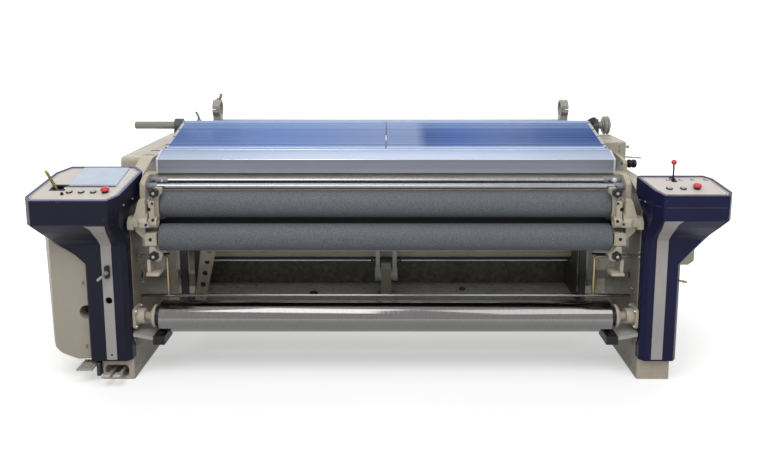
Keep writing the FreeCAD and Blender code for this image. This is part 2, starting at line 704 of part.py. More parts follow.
def right_panel():
    """The pale plate on the right console, with its holes."""
    plate = panel_block(RIGHT_HEAD, RIGHT_RIM_Z, -PANEL_THICKNESS, 0, RIM_INSET)
    for x in RIGHT_BUTTON_X:
        plate = plate.cut(button_bore(x, RIGHT_BUTTON_Y, RIGHT_RIM_Z, BUTTON_RADIUS + LOOSE_CLEARANCE, 20))
    return plate.cut(lever_room(BALL_LEVER_X, BALL_LEVER_Y, 8, 20, 18, 900, 1100))


SCREEN_DEPTH = 186.0


def touch_screen():
    """The flat display unit on the left panel."""
    front = HEAD_FRONT_Y + 150
    slab = rounded_box(left_place(0.621), left_place(0.086), front, front + SCREEN_DEPTH, 900, 1100, 8)
    return slab.common(tilted_slab(LEFT_RIM_Z, 0, 10))


def right_frame():
    """The other frame is the same casting turned round, without the pedal pocket."""
    rear = FRAME_FRONT_Y + SLOT_DEPTH + 1
    pocket_fill = box(
        SLOT_LEFT_X - 1, SLOT_RIGHT_X + 1, FRAME_FRONT_Y, rear, SLOT_LOW_Z - 1, SLOT_HIGH_Z + 1)
    return mirrored(left_frame().fuse(pocket_fill).removeSplitter())


# ---- rollers and their castings -----------------------------------------------------------------
PLATE_LEFT_X = LEFT_WALL_X + BRACKET_OFFSET
PLATE_RIGHT_X = PLATE_LEFT_X + BRACKET_THICKNESS
STANDOFFS = [(-735.0, 770.0), (-625.0, 700.0)]
STANDOFF_RADIUS = 24.0
KNOB_X = -1069.0
LUG_RADIUS = 17.0
LUG_SETBACK = 24.0             # from a star knob's front to its lug
CHEEK_LEFT_X = PLATE_RIGHT_X + 33
CHEEK_RIGHT_X = CHEEK_LEFT_X + 26
ARM_FRONT_Y = -860.0           # front of the crossbar that ends in the outer lug
ARM_Z = 780.0
PIVOT_BOSS_Y = -815.0
PIVOT_BOSS_Z = 784.0
BLOCK_LEFT_X = PLATE_RIGHT_X + 8
BLOCK_RIGHT_X = BLOCK_LEFT_X + 57
UPPER_SLEEVE = 88.0            # length of the grey sleeves on the chrome bars
LOWER_SLEEVE = 49.0
SLEEVE_RADIUS = 17.0
HOOK_LOW_Z = 531.0             # underside of the hooked foot


def standoffs(extra):
    """The round bosses that carry a roller casting on its frame wall."""
    return [rod_x(LEFT_WALL_X, PLATE_LEFT_X, y, z, STANDOFF_RADIUS + extra) for y, z in STANDOFFS]


def casting_web():
    """The plate behind, with its standoffs and the bosses of the upper and the take-up roller."""
    outline = [
        (-770, 640, 14), (-600, 668, 30), (-586, 790, 40), (-650, 880, 30), (-640, 986, 14),
        (-712, 990, 16), (-766, 962, 18), (-770, 900, 14),
    ]
    pieces = [along_x(outline, PLATE_LEFT_X, PLATE_RIGHT_X)] + standoffs(0)
    for y, z in [(UPPER_Y, UPPER_Z), (TAKE_UP_Y, TAKE_UP_Z)]:
        pieces.append(rod_x(PLATE_LEFT_X, PLATE_RIGHT_X + 14, y, z, BEARING_BOSS))
    return pieces


def casting_arm():
    """The crossbar with its tapered upright, the round-ended outer lug, and the fin below."""
    lug_x = LEFT_WALL_X + 8
    front, z = ARM_FRONT_Y, ARM_Z
    rear = front + 60
    end = along_x(
        [(front - 2, z - 25, 8), (rear - 6, z - 25, 6), (rear - 6, z + 36, 10), (front + 22, z + 36, 14),
         (front - 2, z + 12, 8)], lug_x, lug_x + 27)
    bar = box(lug_x + 20, CHEEK_LEFT_X + 6, front, rear, z - 12, z + 12)
    slope = along_x(
        [(front + 1, z + 10, 0), (rear, z + 10, 0), (rear, z + 54, 0), (front + 26, z + 46, 0)],
        lug_x + 26, PLATE_RIGHT_X + 27)
    x0, x1 = PLATE_LEFT_X - 9, PLATE_RIGHT_X + 23
    upright = along_y(
        [(x0, z + 32, 8), (x1, z + 32, 4), (x1 - 4, z + 118, 8), (x0 + 26, z + 118, 14)],
        front + 14, front + 48)
    rib = box(PLATE_LEFT_X + 9, PLATE_RIGHT_X + 3, front + 40, front + 100, z + 12, z + 112)
    x0, x1 = PLATE_LEFT_X - 14, PLATE_RIGHT_X + 7
    fin = along_y([(x0, z - 8, 0), (x1, z - 8, 0), (x1, z - 90, 6), (x0, z - 42, 6)], front + 44, front + 76)
    fin_rib = box(PLATE_LEFT_X, PLATE_RIGHT_X, front + 70, front + 100, z - 68, z - 12)
    notch = rod_z(lug_x + 41, front - 6, z - 40, z + 70, 19)
    return [end, bar.fuse(slope).cut(notch), upright, rib, fin, fin_rib]


def casting_cheek():
    """The inner plate with the pivot boss, and the upright that carries the upper star knob."""
    y, z = UPPER_Y, UPPER_Z
    plate = along_x(
        [(y - 99, z + 31, 12), (y - 99, z - 83, 12), (y - 57, z - 91, 12), (y + 37, z - 53, 24),
         (y + 41, z + 27, 24), (y - 9, z + 43, 20)], CHEEK_LEFT_X, CHEEK_RIGHT_X)
    front = KNOB_UPPER_Y + LUG_SETBACK
    x, z = KNOB_X, KNOB_UPPER_Z
    upright = along_y(
        [(x - 21, z - 125, 4), (x + 15, z - 125, 4), (x + 15, z - 23, 6), (x + 31, z - 5, 6),
         (x + 32, z + 21, 8), (x - 4, z + 23, 8), (x - 20, z - 25, 20)], front, front + 26)
    boss = rod_x(CHEEK_LEFT_X - 2, BLOCK_RIGHT_X + 4, PIVOT_BOSS_Y, PIVOT_BOSS_Z, 27)
    socket = rod_x(CHEEK_RIGHT_X + 2, BLOCK_RIGHT_X + 5, PIVOT_BOSS_Y, PIVOT_BOSS_Z, 17)
    x0, x1 = CHEEK_LEFT_X - 4, CHEEK_LEFT_X + 10
    z0, z1 = KNOB_UPPER_Z - 87, KNOB_UPPER_Z - 67
    notch = along_y([(x0, z0, 0), (x1, z0, 4), (x1, z1, 4), (x0, z1, 0)], front - 38, front + 12)
    return [fused(plate, upright, boss).cut(Part.makeCompound([socket, notch]))]


def casting_foot():
    """The block round the lower journal, the lower star knob's lug and the hooked foot under it."""
    y, z0, z1 = LOWER_Y, LOWER_Z - 29, LOWER_Z + 34
    block = along_y(
        [(BLOCK_LEFT_X, z0, 4), (BLOCK_RIGHT_X, z0, 4), (BLOCK_RIGHT_X, z1, 4), (BLOCK_LEFT_X, z1, 16)],
        y - 53, y + 37)
    bridge = box(PLATE_RIGHT_X - 3, BLOCK_LEFT_X + 4, y - 18, y + 37, z0 + 12, z1 - 5)
    stalk = rod_z(KNOB_X - 14, y - 40, z0 - 32, z0 + 4, 8)
    front = KNOB_LOWER_Y + LUG_SETBACK
    x, z = KNOB_X, KNOB_LOWER_Z
    lug_web = along_y(
        [(x - 25, z - 23, 4), (x + 7, z - 30, 6), (x + 29, z - 23, 6), (x + 35, z + 1, 6),
         (x + 13, z + 19, 6), (x - 1, z + 41, 0), (x - 25, z + 41, 0)], front, front + 24)
    low = HOOK_LOW_Z
    hook = along_x(
        [(front - 6, low - 1, 0), (y + 37, low - 1, 0), (y + 37, z0 + 4, 0), (y - 3, z0 + 4, 0),
         (y - 10, low + 75, 8), (front - 6, low + 75, 6)], x - 36, x - 21)
    foot = rounded_box(x - 39, x + 23, front - 18, front + 54, low, low + 14, 4)
    lip = rod_x(x - 39, x + 19, front - 12, low + 4, 8)
    return [block, bridge, stalk, lug_web, hook, foot, lip]


def left_roller_bracket():
    """One casting that holds three rollers, both guide bars and the two star knobs at one end."""
    lugs = [
        rod_y(KNOB_X, KNOB_UPPER_Y + LUG_SETBACK, KNOB_UPPER_Y + LUG_SETBACK + 22, KNOB_UPPER_Z, LUG_RADIUS),
        rod_y(KNOB_X, KNOB_LOWER_Y + LUG_SETBACK, KNOB_LOWER_Y + LUG_SETBACK + 22, KNOB_LOWER_Z, LUG_RADIUS),
    ]
    casting = fused(*casting_web(), *casting_arm(), *casting_cheek(), *casting_foot(), *lugs)
    bores = []
    for y, z in [(UPPER_Y, UPPER_Z), (LOWER_Y, LOWER_Z), (TAKE_UP_Y, TAKE_UP_Z)]:
        bores.append(rod_x(PLATE_LEFT_X - 1, BLOCK_RIGHT_X + 1, y, z, JOURNAL_RADIUS + RUN_CLEARANCE))
    for y, z in [(UPPER_BAR_Y, UPPER_BAR_Z), (LOWER_BAR_Y, LOWER_BAR_Z)]:
        bores.append(rod_x(PLATE_LEFT_X - 1, PLATE_RIGHT_X + 1, y, z, BAR_RADIUS))
    for y, z in [(KNOB_UPPER_Y, KNOB_UPPER_Z), (KNOB_LOWER_Y, KNOB_LOWER_Z)]:
        bores.append(rod_y(KNOB_X, y, y + 60, z, KNOB_STEM + RUN_CLEARANCE))
    return casting.cut(Part.makeCompound(bores))


def star_knob(y, z):
    """A six-lobed grip on the end of its adjusting screw."""
    lobes = [rod_y(KNOB_X, y, y + 20, z, KNOB_RADIUS - 5)]
    for i in range(6):
        angle = math.radians(90 + 60 * i)
        reach = KNOB_RADIUS - 8
        lobes.append(rod_y(KNOB_X + reach * math.cos(angle), y, y + 20, z + reach * math.sin(angle), 8))
    lobes.append(rod_y(KNOB_X, y - 3, y + LUG_SETBACK + 26, z, KNOB_STEM))
    lobes.append(rod_y(KNOB_X, y + 20, y + LUG_SETBACK - LOOSE_CLEARANCE, z, 10))
    return fused(*lobes)


def plain_roller(length, radius, y, z, journal, journal_end_x):
    """A round roller with a stepped journal at each end, carried at the castings."""
    half = length / 2
    reach = WEAVE_X - journal_end_x
    profile = [
        (WEAVE_X - reach, 0), (WEAVE_X - reach, journal), (WEAVE_X - half - 8, journal),
        (WEAVE_X - half - 8, journal + 10),
        (WEAVE_X - half, journal + 10), (WEAVE_X - half, radius - 3), (WEAVE_X - half + 3, radius),
        (WEAVE_X + half - 3, radius), (WEAVE_X + half, radius - 3), (WEAVE_X + half, journal + 10),
        (WEAVE_X + half + 8, journal + 10), (WEAVE_X + half + 8, journal), (WEAVE_X + reach, journal),
        (WEAVE_X + reach, 0),
    ]
    return turned(profile, y, z)


BEARING_BORE_X = LEFT_WALL_X + 8


def cloth_roller():
    """The chrome roller with a flange and a stepped stub at each end."""
    half = CLOTH_LENGTH / 2
    reach = WEAVE_X - BEARING_BORE_X - 2
    left = [
        (-reach, 0), (-reach, CLOTH_JOURNAL), (-half - 46, CLOTH_JOURNAL), (-half - 46, 38), (-half - 34, 38),
        (-half - 34, 56), (-half - 22, 56), (-half - 22, 46), (-half, 46), (-half, CLOTH_RADIUS - 4),
        (-half + 4, CLOTH_RADIUS),
    ]
    profile = [(WEAVE_X + x, r) for x, r in left] + [(WEAVE_X - x, r) for x, r in reversed(left)]
    return turned(profile, CLOTH_Y, CLOTH_Z)


def cloth_bearings():
    """Flanged bearings for the cloth roller, bolted to the frame walls."""
    corners = [(-832, 250, 14), (-728, 250, 14), (-728, 350, 14), (-832, 350, 14)]
    plate = along_x(corners, LEFT_WALL_X, LEFT_WALL_X + 14)
    boss = rod_x(LEFT_WALL_X, LEFT_WALL_X + 50, CLOTH_Y, CLOTH_Z, 38)
    bore = rod_x(BEARING_BORE_X, LEFT_WALL_X + 60, CLOTH_Y, CLOTH_Z, CLOTH_JOURNAL + RUN_CLEARANCE)
    bearing = fused(plate, boss).cut(bore)
    return group(bearing, mirrored(bearing))


def stop_plates():
    """Bent plates with a round pad under each end of the cloth roller."""
    x0 = LEFT_WALL_X
    leg = box(x0, x0 + 6, -824, -744, 186, 240)
    shelf = rounded_box(x0, x0 + 150, -816, -756, 192, 198, 10)
    gusset = along_y([(x0 + 4, 150, 0), (x0 + 70, 194, 0), (x0 + 4, 194, 0)], -789, -783)
    pad = rod_z(x0 + 120, -786, 196, 216, 20)
    plate = fused(leg, shelf, gusset, pad)
    return group(plate, mirrored(plate))


def sleeved_bar(y, z, sleeve):
    """A chrome bar between the castings with a grey cast sleeve at each end."""
    far_x = 2 * WEAVE_X - PLATE_LEFT_X
    sleeve_x = 2 * WEAVE_X - PLATE_RIGHT_X - sleeve
    return fused(
        rod_x(PLATE_LEFT_X, far_x, y, z, BAR_RADIUS),
        rod_x(PLATE_RIGHT_X, PLATE_RIGHT_X + sleeve, y, z, SLEEVE_RADIUS),
        rod_x(sleeve_x, sleeve_x + sleeve, y, z, SLEEVE_RADIUS))


def guide_bars():
    """Two chrome bars above the rollers and the thin bar over the cloth roller."""
    return group(
        sleeved_bar(UPPER_BAR_Y, UPPER_BAR_Z, UPPER_SLEEVE),
        sleeved_bar(LOWER_BAR_Y, LOWER_BAR_Z, LOWER_SLEEVE),
        rod_x(LEFT_WALL_X, RIGHT_WALL_X, THIN_BAR_Y, THIN_BAR_Z, THIN_BAR_RADIUS))


# ---- front cover and guard ----------------------------------------------------------------------
BEAD_Y = COVER_REAR_Y + 4
BEAD_Z = COVER_REAR_Z - 2


def front_cover():
    """A folded sheet with a lip on the breast beam and a bead along its rear edge."""
    t = COVER_SHEET
    outline = [
        (COVER_FRONT_Y + 60, COVER_LOW_Z, 0), (COVER_FRONT_Y, COVER_LOW_Z, 5),
        (COVER_FRONT_Y, COVER_EDGE_Z, 6),
        (COVER_REAR_Y, COVER_REAR_Z, 0), (COVER_REAR_Y + 1, COVER_REAR_Z - t, 0),
        (COVER_FRONT_Y + t, COVER_EDGE_Z - t * 0.7, 3), (COVER_FRONT_Y + t, COVER_LOW_Z + t, 2),
        (COVER_FRONT_Y + 60, COVER_LOW_Z + t, 0),
    ]
    half = COVER_LENGTH / 2
    sheet = along_x(outline, WEAVE_X - half, WEAVE_X + half)
    bead = rod_x(WEAVE_X - half, WEAVE_X + half, BEAD_Y, BEAD_Z, BEAD_RADIUS)
    return fused(sheet, bead)


def cover_end_caps():
    """A moulded cap over each end of the front cover."""
    outline = [
        (COVER_FRONT_Y - 2, COVER_LOW_Z, 4), (COVER_FRONT_Y - 2, COVER_EDGE_Z + 2, 6),
        (COVER_REAR_Y - 8, COVER_REAR_Z + 1, 0), (COVER_REAR_Y - 8, COVER_LOW_Z + 60, 12),
        (COVER_FRONT_Y + 60, COVER_LOW_Z, 0),
    ]
    x1 = WEAVE_X - COVER_LENGTH / 2
    cap = along_x(outline, x1 - CAP_THICKNESS, x1)
    return group(cap, mirrored(cap))


def guard_left():
    """One leaf of the guard: a flat sheet whose front edge curls round the cover's bead."""
    half = COVER_LENGTH / 2
    x0, x1 = WEAVE_X - half, WEAVE_X - GUARD_SEAM / 2
    inner = BEAD_RADIUS + RUN_CLEARANCE
    outer = inner + GUARD_SHEET
    curl = rod_x(x0, x1, BEAD_Y, BEAD_Z, outer).cut(rod_x(x0 - 1, x1 + 1, BEAD_Y, BEAD_Z, inner))
    curl = curl.cut(box(x0 - 1, x1 + 1, BEAD_Y - 40, BEAD_Y + 1, BEAD_Z - 40, BEAD_Z + 40))
    sheet = box(x0, x1, inner + 0.5, GUARD_DEPTH, -GUARD_SHEET / 2, GUARD_SHEET / 2)
    rib = box(x0, x1, 66, 72, -GUARD_SHEET / 2, GUARD_SHEET / 2 + 3)
    hem = box(x0, x1, GUARD_DEPTH - 5, GUARD_DEPTH, -GUARD_SHEET / 2 - 10, GUARD_SHEET / 2)
    leaf = fused(sheet, rib, hem)
    leaf.rotate(V(0, 0, 0), X_AXIS, GUARD_SLOPE)
    leaf.translate(V(0, BEAD_Y, BEAD_Z))
    return fused(curl, leaf)


# ---- controls -----------------------------------------------------------------------------------
def stand(shape, x, y, rim_z):
    """Puts a piece made upright at the origin square on a console's tilted face."""
    placed = shape.copy()
    placed.rotate(V(0, 0, 0), X_AXIS, PANEL_TILT)
    placed.translate(on_panel(x, y, rim_z))
    return placed


def spun(profile):
    """An (r, z) half section turned about Z."""
    corners = [V(r, 0, z) for r, z in profile]
    wire = Part.makePolygon(corners + [corners[0]])
    return Part.Face(wire).revolve(V(0, 0, 0), Z_AXIS, 360)


def push_button(x, y, rim_z):
    """A flat round push button with its plunger."""
    r = BUTTON_RADIUS
    cap = spun([
        (0, -BUTTON_STEM), (r, -BUTTON_STEM), (r, BUTTON_PROUD - 1.5), (r - 1.5, BUTTON_PROUD),
        (0, BUTTON_PROUD),
    ])
    return stand(cap, x, y, rim_z)


def mushroom_button(x, y, rim_z):
    """A stop button with a wide domed head."""
    r = BUTTON_RADIUS
    under = COLLAR_HEIGHT + BUTTON_TRAVEL + 1
    top = under + MUSHROOM_HEIGHT - 9
    head = MUSHROOM_RADIUS
    cap = spun([
        (0, -BUTTON_STEM), (r, -BUTTON_STEM), (r, under), (head - 2, under), (head, under + 2),
        (head, under + 6),
        (head - 3, top - 2), (head - 8, top), (0, top + 1),
    ])
    return stand(cap, x, y, rim_z)


def collar(x, y, rim_z):
    """The black ring round a button."""
    r = BUTTON_RADIUS + LOOSE_CLEARANCE
    high = COLLAR_HEIGHT
    ring = spun([(r, 0), (COLLAR_RADIUS, 0), (COLLAR_RADIUS, high - 2), (COLLAR_RADIUS - 2, high), (r, high)])
    return stand(ring, x, y, rim_z)


def gate(x0, x1, y0, y1, margin, rim_z):
    """A thin black frame round a lever's opening."""
    outer = rounded_box(x0 - margin, x1 + margin, y0 - margin, y1 + margin, 900, 1100, 6)
    inner = rounded_box(x0, x1, y0, y1, 880, 1120, 4)
    return outer.cut(inner).common(tilted_slab(rim_z, 0, 2))


def isolator_base():
    """The black slotted block on the left column that the isolator turns in."""
    front = COLUMN_FRONT_Y - STRIPE_PROUD
    corners = [
        (ISOLATOR_X - 11, ISOLATOR_Z - 30, 5), (ISOLATOR_X + 11, ISOLATOR_Z - 30, 5),
        (ISOLATOR_X + 11, ISOLATOR_Z + 30, 5), (ISOLATOR_X - 11, ISOLATOR_Z + 30, 5),
    ]
    block = along_y(corners, front - 14, front)
    return block.cut(rod_y(ISOLATOR_X, front - 20, front + 1, ISOLATOR_Z, 6 + RUN_CLEARANCE))


def switch_bases():
    """Black fixed pieces of the consoles: collars, lever gates and the isolator's base."""
    pieces = [collar(x, LEFT_BUTTON_Y, LEFT_RIM_Z) for x in LEFT_BUTTON_X]
    pieces += [collar(x, RIGHT_BUTTON_Y, RIGHT_RIM_Z) for x in RIGHT_BUTTON_X]
    pieces.append(gate(LEVER_X - 27, LEVER_X + 27, LEVER_Y - 20, LEVER_Y + 20, 10, LEFT_RIM_Z))
    x, y = BALL_LEVER_X, BALL_LEVER_Y
    pieces.append(gate(x - 8, x + 8, y - 20, y + 18, 5, RIGHT_RIM_Z))
    pieces.append(isolator_base())
    return group(*pieces)


def isolator_lever():
    """A short grey handle on a spindle."""
    front = COLUMN_FRONT_Y - STRIPE_PROUD - 14
    spindle = rod_y(ISOLATOR_X, front - 10, COLUMN_FRONT_Y + 12, ISOLATOR_Z, 6)
    hub = rod_y(ISOLATOR_X, front - 12, front - LOOSE_CLEARANCE, ISOLATOR_Z, 10)
    tip = V(ISOLATOR_X - 37, front - 14, ISOLATOR_Z - 32)
    handle = rod_between(V(ISOLATOR_X, front - 6, ISOLATOR_Z), tip, 5)
    return fused(spindle, hub, handle, Part.makeSphere(6.5, tip))


LEVER_LEAN = 27.5


def lever_gimbal():
    """The block under the rod lever: it rocks on two trunnions and holds the lever's pin."""
    z = panel_z(LEVER_Y, LEFT_RIM_Z) - LEVER_PIVOT_DROP
    block = box(LEVER_X - 20, LEVER_X + 20, LEVER_Y - 17, LEVER_Y + 17, z - 16, z + 10)
    block = block.cut(box(LEVER_X - 15, LEVER_X + 15, LEVER_Y - 7.3, LEVER_Y + 7.3, z - 12, z + 20))
    pins = [rod_x(x, x + 19, LEVER_Y, z, 5) for x in (LEVER_X - 38, LEVER_X + 19)]
    block = block.fuse(pins)
    return block.cut(rod_y(LEVER_X, LEVER_Y - 20, LEVER_Y + 20, z, 4 + RUN_CLEARANCE)).removeSplitter()


def rod_lever():
    """A thick brass rod with a pale end, leaning to the left on its pin."""
    z = panel_z(LEVER_Y, LEFT_RIM_Z) - LEVER_PIVOT_DROP
    rod = spun([(0, 0), (5, 4), (6.8, 14), (6.8, 112), (7.5, 113), (7.5, 126), (5.5, 129), (0, 129)])
    rod.rotate(V(0, 0, 0), Y_AXIS, -LEVER_LEAN)
    rod.translate(V(LEVER_X, LEVER_Y, z))
    hub = rod_y(LEVER_X, LEVER_Y - 7, LEVER_Y + 7, z, 9)
    pin = rod_y(LEVER_X, LEVER_Y - 17, LEVER_Y + 17, z, 4)
    return fused(rod, hub, pin)


def ball_lever():
    """A thin black rod with a round red grip."""
    z = panel_z(BALL_LEVER_Y, RIGHT_RIM_Z) - BALL_PIVOT_DROP
    pin = rod_x(BALL_LEVER_X - 17, BALL_LEVER_X + 17, BALL_LEVER_Y, z, 4)
    stem = rod_z(BALL_LEVER_X, BALL_LEVER_Y, z, z + 100, 4)
    return fused(pin, stem, Part.makeSphere(13, V(BALL_LEVER_X, BALL_LEVER_Y, z + 104)))


# ---- pedals -------------------------------------------------------------------------------------
PEDAL_PIVOT_Y = -720.0
PEDAL_PIVOT_Z = 45.0
PEDAL_PIN = 6.0
INNER_PEDAL_X = -1254.0
OUTER_PEDAL_X = -1304.0
WIDE_PIVOT_Y = -800.0
WIDE_PIVOT_Z = 70.0
WIDE_RIGHT_X = LEFT_WALL_X - FOOT_WIDTH - 20
WIDE_LEFT_X = WIDE_RIGHT_X - 77


def pedal_bracket():
    """The pin across the foot's pocket, and the dark side plate with the wide pedal's pin."""
    pin = rod_x(SLOT_LEFT_X, SLOT_RIGHT_X, PEDAL_PIVOT_Y, PEDAL_PIVOT_Z, PEDAL_PIN)
    outer_x = LEFT_WALL_X - FOOT_WIDTH
    corners = [(-868, 24, 10), (-752, 24, 10), (-752, 98, 16), (-868, 98, 24)]
    plate = along_x(corners, outer_x - 14, outer_x)
    stub = rod_x(WIDE_LEFT_X - 3, outer_x - 10, WIDE_PIVOT_Y, WIDE_PIVOT_Z, PEDAL_PIN)
    return group(pin, fused(plate, stub))


def bent_pedal(x):
    """A flat bar pedal, cranked down and widened at its front."""
    hub = rod_x(x - 8, x + 8, PEDAL_PIVOT_Y, PEDAL_PIVOT_Z, 12)
    side = [
        (PEDAL_PIVOT_Y, 39, 0), (-872, 39, 8), (-890, 46, 8), (-936, 50, 0), (-936, 55, 0), (-888, 52, 8),
        (-868, 46, 8), (PEDAL_PIVOT_Y, 52, 0),
    ]
    arm = along_x(side, x - 7, x + 7)
    tread = along_z([(x - 19, -938, 5), (x + 19, -938, 5), (x + 19, -884, 8), (x - 19, -884, 8)], 49, 55)
    bore = rod_x(x - 10, x + 10, PEDAL_PIVOT_Y, PEDAL_PIVOT_Z, PEDAL_PIN + RUN_CLEARANCE)
    return fused(hub, arm, tread).cut(bore)


def wide_pedal():
    """A ribbed tread on a tube round its pin."""
    tube = rod_x(WIDE_LEFT_X, WIDE_RIGHT_X, WIDE_PIVOT_Y, WIDE_PIVOT_Z, 11)
    tread = box(WIDE_LEFT_X, WIDE_RIGHT_X, -908, WIDE_PIVOT_Y, WIDE_PIVOT_Z + 3, WIDE_PIVOT_Z + 10)
    z = WIDE_PIVOT_Z + 9
    ribs = [box(WIDE_LEFT_X, WIDE_RIGHT_X, y, y + 5, z, z + 4) for y in range(-904, -820, 14)]
    bore = rod_x(WIDE_LEFT_X - 1, WIDE_RIGHT_X + 1, WIDE_PIVOT_Y, WIDE_PIVOT_Z, PEDAL_PIN + RUN_CLEARANCE)
    return fused(tube, tread, *ribs).cut(bore)


# ---- covers at the ends -------------------------------------------------------------------------
SIDE_COVER_TOP_Z = 720.0
SIDE_COVER_FRONT_Y = -846.0
SIDE_COVER_REAR_Y = -330.0
GEAR_COVER_X = -1372.0
GEAR_FRONT_Y = -390.0
GEAR_REAR_Y = 570.0
GEAR_TOP_Z = 1024.0


def left_side_cover():
    """The bulged beige cover beside the left column, with a round notch in its edge."""
    x0, x1 = LEFT_COLUMN[-1][0] - 200, LEFT_COLUMN[-1][0]
    outline = [
        (x1, 110, 0), (x1 - 60, 106, 30), (x0 + 25, 150, 90), (x0, 700, 300), (x0, SIDE_COVER_TOP_Z, 0),
        (x1, SIDE_COVER_TOP_Z, 0),
    ]
    cover = along_y(outline, SIDE_COVER_FRONT_Y, SIDE_COVER_REAR_Y)
    front = SIDE_COVER_FRONT_Y - 54
    facet = along_z([(x0 - 60, front, 0), (x0 + 80, front, 0), (x0 - 60, front + 160, 0)], 90, 800)
    notch = rod_y(x1 - 8, front, SIDE_COVER_REAR_Y + 30, 345, 34)
    inwards = box(
        GEAR_COVER_X - LOOSE_CLEARANCE, 0, GEAR_FRONT_Y - LOOSE_CLEARANCE, GEAR_REAR_Y, 0, GEAR_TOP_Z)
    cover = cover.cut(Part.makeCompound([facet, notch, inwards]))
    return cover.cut(left_shell()).Solids[0]


def gear_cover():
    """The long closed cover outside the left frame, with a lid over the frame and a slot in it."""
    frame_x = LEFT_WALL_X - RIM_WIDTH
    outline = [
        (GEAR_FRONT_Y, 240, 30), (GEAR_REAR_Y, 240, 30), (GEAR_REAR_Y, GEAR_TOP_Z, 24),
        (GEAR_FRONT_Y, GEAR_TOP_Z, 24),
    ]
    body = along_x(outline, GEAR_COVER_X, frame_x)
    lid_outline = [
        (-560, FRAME_TOP_Z, 0), (30, FRAME_TOP_Z, 0), (30, GEAR_TOP_Z, 12), (GEAR_FRONT_Y, GEAR_TOP_Z, 30),
        (-560, FRAME_TOP_Z + 18, 10),
    ]
    lid = along_x(lid_outline, frame_x, LEFT_WALL_X - 4)
    cover = body.fuse(lid)
    slot = rounded_box(frame_x - 10, LEFT_WALL_X - 20, -330, -300, GEAR_TOP_Z - 20, GEAR_TOP_Z + 1, 8)
    seam = box(frame_x - 1, frame_x + 1, GEAR_FRONT_Y, GEAR_REAR_Y, GEAR_TOP_Z - 2, GEAR_TOP_Z + 1)
    return cover.cut(slot).cut(seam).removeSplitter()


KNOB_SHAFT_Y = -450.0
KNOB_SHAFT_Z = 1001.0
HOUSING_FRONT_Y = -270.0
HOUSING_TOP_Z = 1087.0


def drive_housing():
    """The closed box over the right frame, with a lug for the knob's shaft and a bent steel rod."""
    x0, x1 = RIGHT_WALL_X - 43, RIGHT_WALL_X + 77
    front, rear, top = HOUSING_FRONT_Y, 36, HOUSING_TOP_Z
    body = along_x([(front, FRAME_TOP_Z, 0), (rear, FRAME_TOP_Z, 0), (rear, top, 8), (front, top, 8)], x0, x1)
    slot = rounded_box(x0 + 10, x0 + 80, -150, -136, top - 7, top + 3, 5)
    marks = [box(x1 - 40, x1 - 32, front - 1, front + 6, z, z + 14) for z in (top - 57, top - 33)]
    lug_front = KNOB_SHAFT_Y - 26
    lug = along_x(
        [(lug_front, FRAME_TOP_Z, 0), (front, FRAME_TOP_Z, 0), (front, top - 53, 0),
         (front - 50, top - 53, 14), (lug_front + 52, top - 63, 20), (lug_front, top - 69, 18)],
        x0 + 46, x0 + 66)
    y, z = front + 20, top - 29
    stud = rod_x(x1, x1 + 16, y, z, 4).fuse(rod_x(x1 + 12, x1 + 22, y, z, 9))
    y, z = front - 30, top - 75
    bend = V(x1 - 20, y, z)
    rod = rod_x(x0 + 20, x1 - 18, y, z, 4.5).fuse(rod_between(bend, bend + V(92, -6, -6), 4.5))
    heald_top = HEALD_HIGH_Z + HEALD_LIFT + 8
    heald_room = box(
        x0 - 16, RIGHT_WALL_X, HEALD_Y[0] - 26, HEALD_Y[1] + 26, FRAME_TOP_Z - 1, heald_top)
    housing = fused(body.cut(Part.makeCompound([slot, heald_room] + marks)), lug, stud, rod)
    return housing.cut(rod_x(x0 + 39, x0 + 74, KNOB_SHAFT_Y, KNOB_SHAFT_Z, 8 + RUN_CLEARANCE))


def double_knob():
    """A black grip with two collars on a short shaft."""
    profile = [
        (1259, 0), (1259, 8), (1290, 8), (1290, 17), (1294, 22), (1307, 22), (1312, 17), (1317, 22),
        (1331, 22),
        (1335, 17), (1335, 0),
    ]
    return turned(profile, KNOB_SHAFT_Y, KNOB_SHAFT_Z)


# ---- rear ---------------------------------------------------------------------------------------
def ring_bracket(x, slit_low):
    """A split ring on a post, standing on the rear beam."""
    x0, x1 = x - RING_WIDTH / 2, x + RING_WIDTH / 2
    base_z = REAR_BEAM_TOP_Z
    post_outline = [
        (RING_Y - 44, base_z, 0), (RING_Y + 44, base_z, 0), (RING_Y + 44, base_z + 14, 4),
        (RING_Y + 34, base_z + 22, 10),
        (RING_Y + 34, RING_Z, 0), (RING_Y - 34, RING_Z, 0), (RING_Y - 34, base_z + 22, 10),
        (RING_Y - 44, base_z + 14, 4),
    ]
    post = along_x(post_outline, x0, x1)
    ring = rod_x(x0, x1, RING_Y, RING_Z, RING_OUTER)
    ear = box(x0 + 6, x1 - 6, RING_Y - RING_OUTER - 16, RING_Y - 38, RING_Z - 18, RING_Z + 22)
    bracket = fused(post, ring, ear)
    bracket = bracket.cut(rod_x(x0 - 1, x1 + 1, RING_Y, RING_Z, RING_BORE))
    bracket = bracket.cut(box(x0 - 1, x1 + 1, RING_Y - 90, RING_Y - 30, slit_low, slit_low + 6))
    return bracket.cut(rod_x(x0 - 1, x1 + 1, RING_Y, REST_Z, 15 + RUN_CLEARANCE))


LEVER_HOLE_Y = RING_Y + 6


def ring_brackets():
    """The two ring brackets; the left one has a hole in its crown for the clamp lever."""
    left = ring_bracket(LEFT_RING_X, RING_Z - 3)
    left = left.cut(rod_z(LEFT_RING_X, LEVER_HOLE_Y, RING_Z + RING_BORE + 3, RING_Z + 70, 4 + RUN_CLEARANCE))
    return group(left, ring_bracket(RIGHT_RING_X, RING_Z - 3))


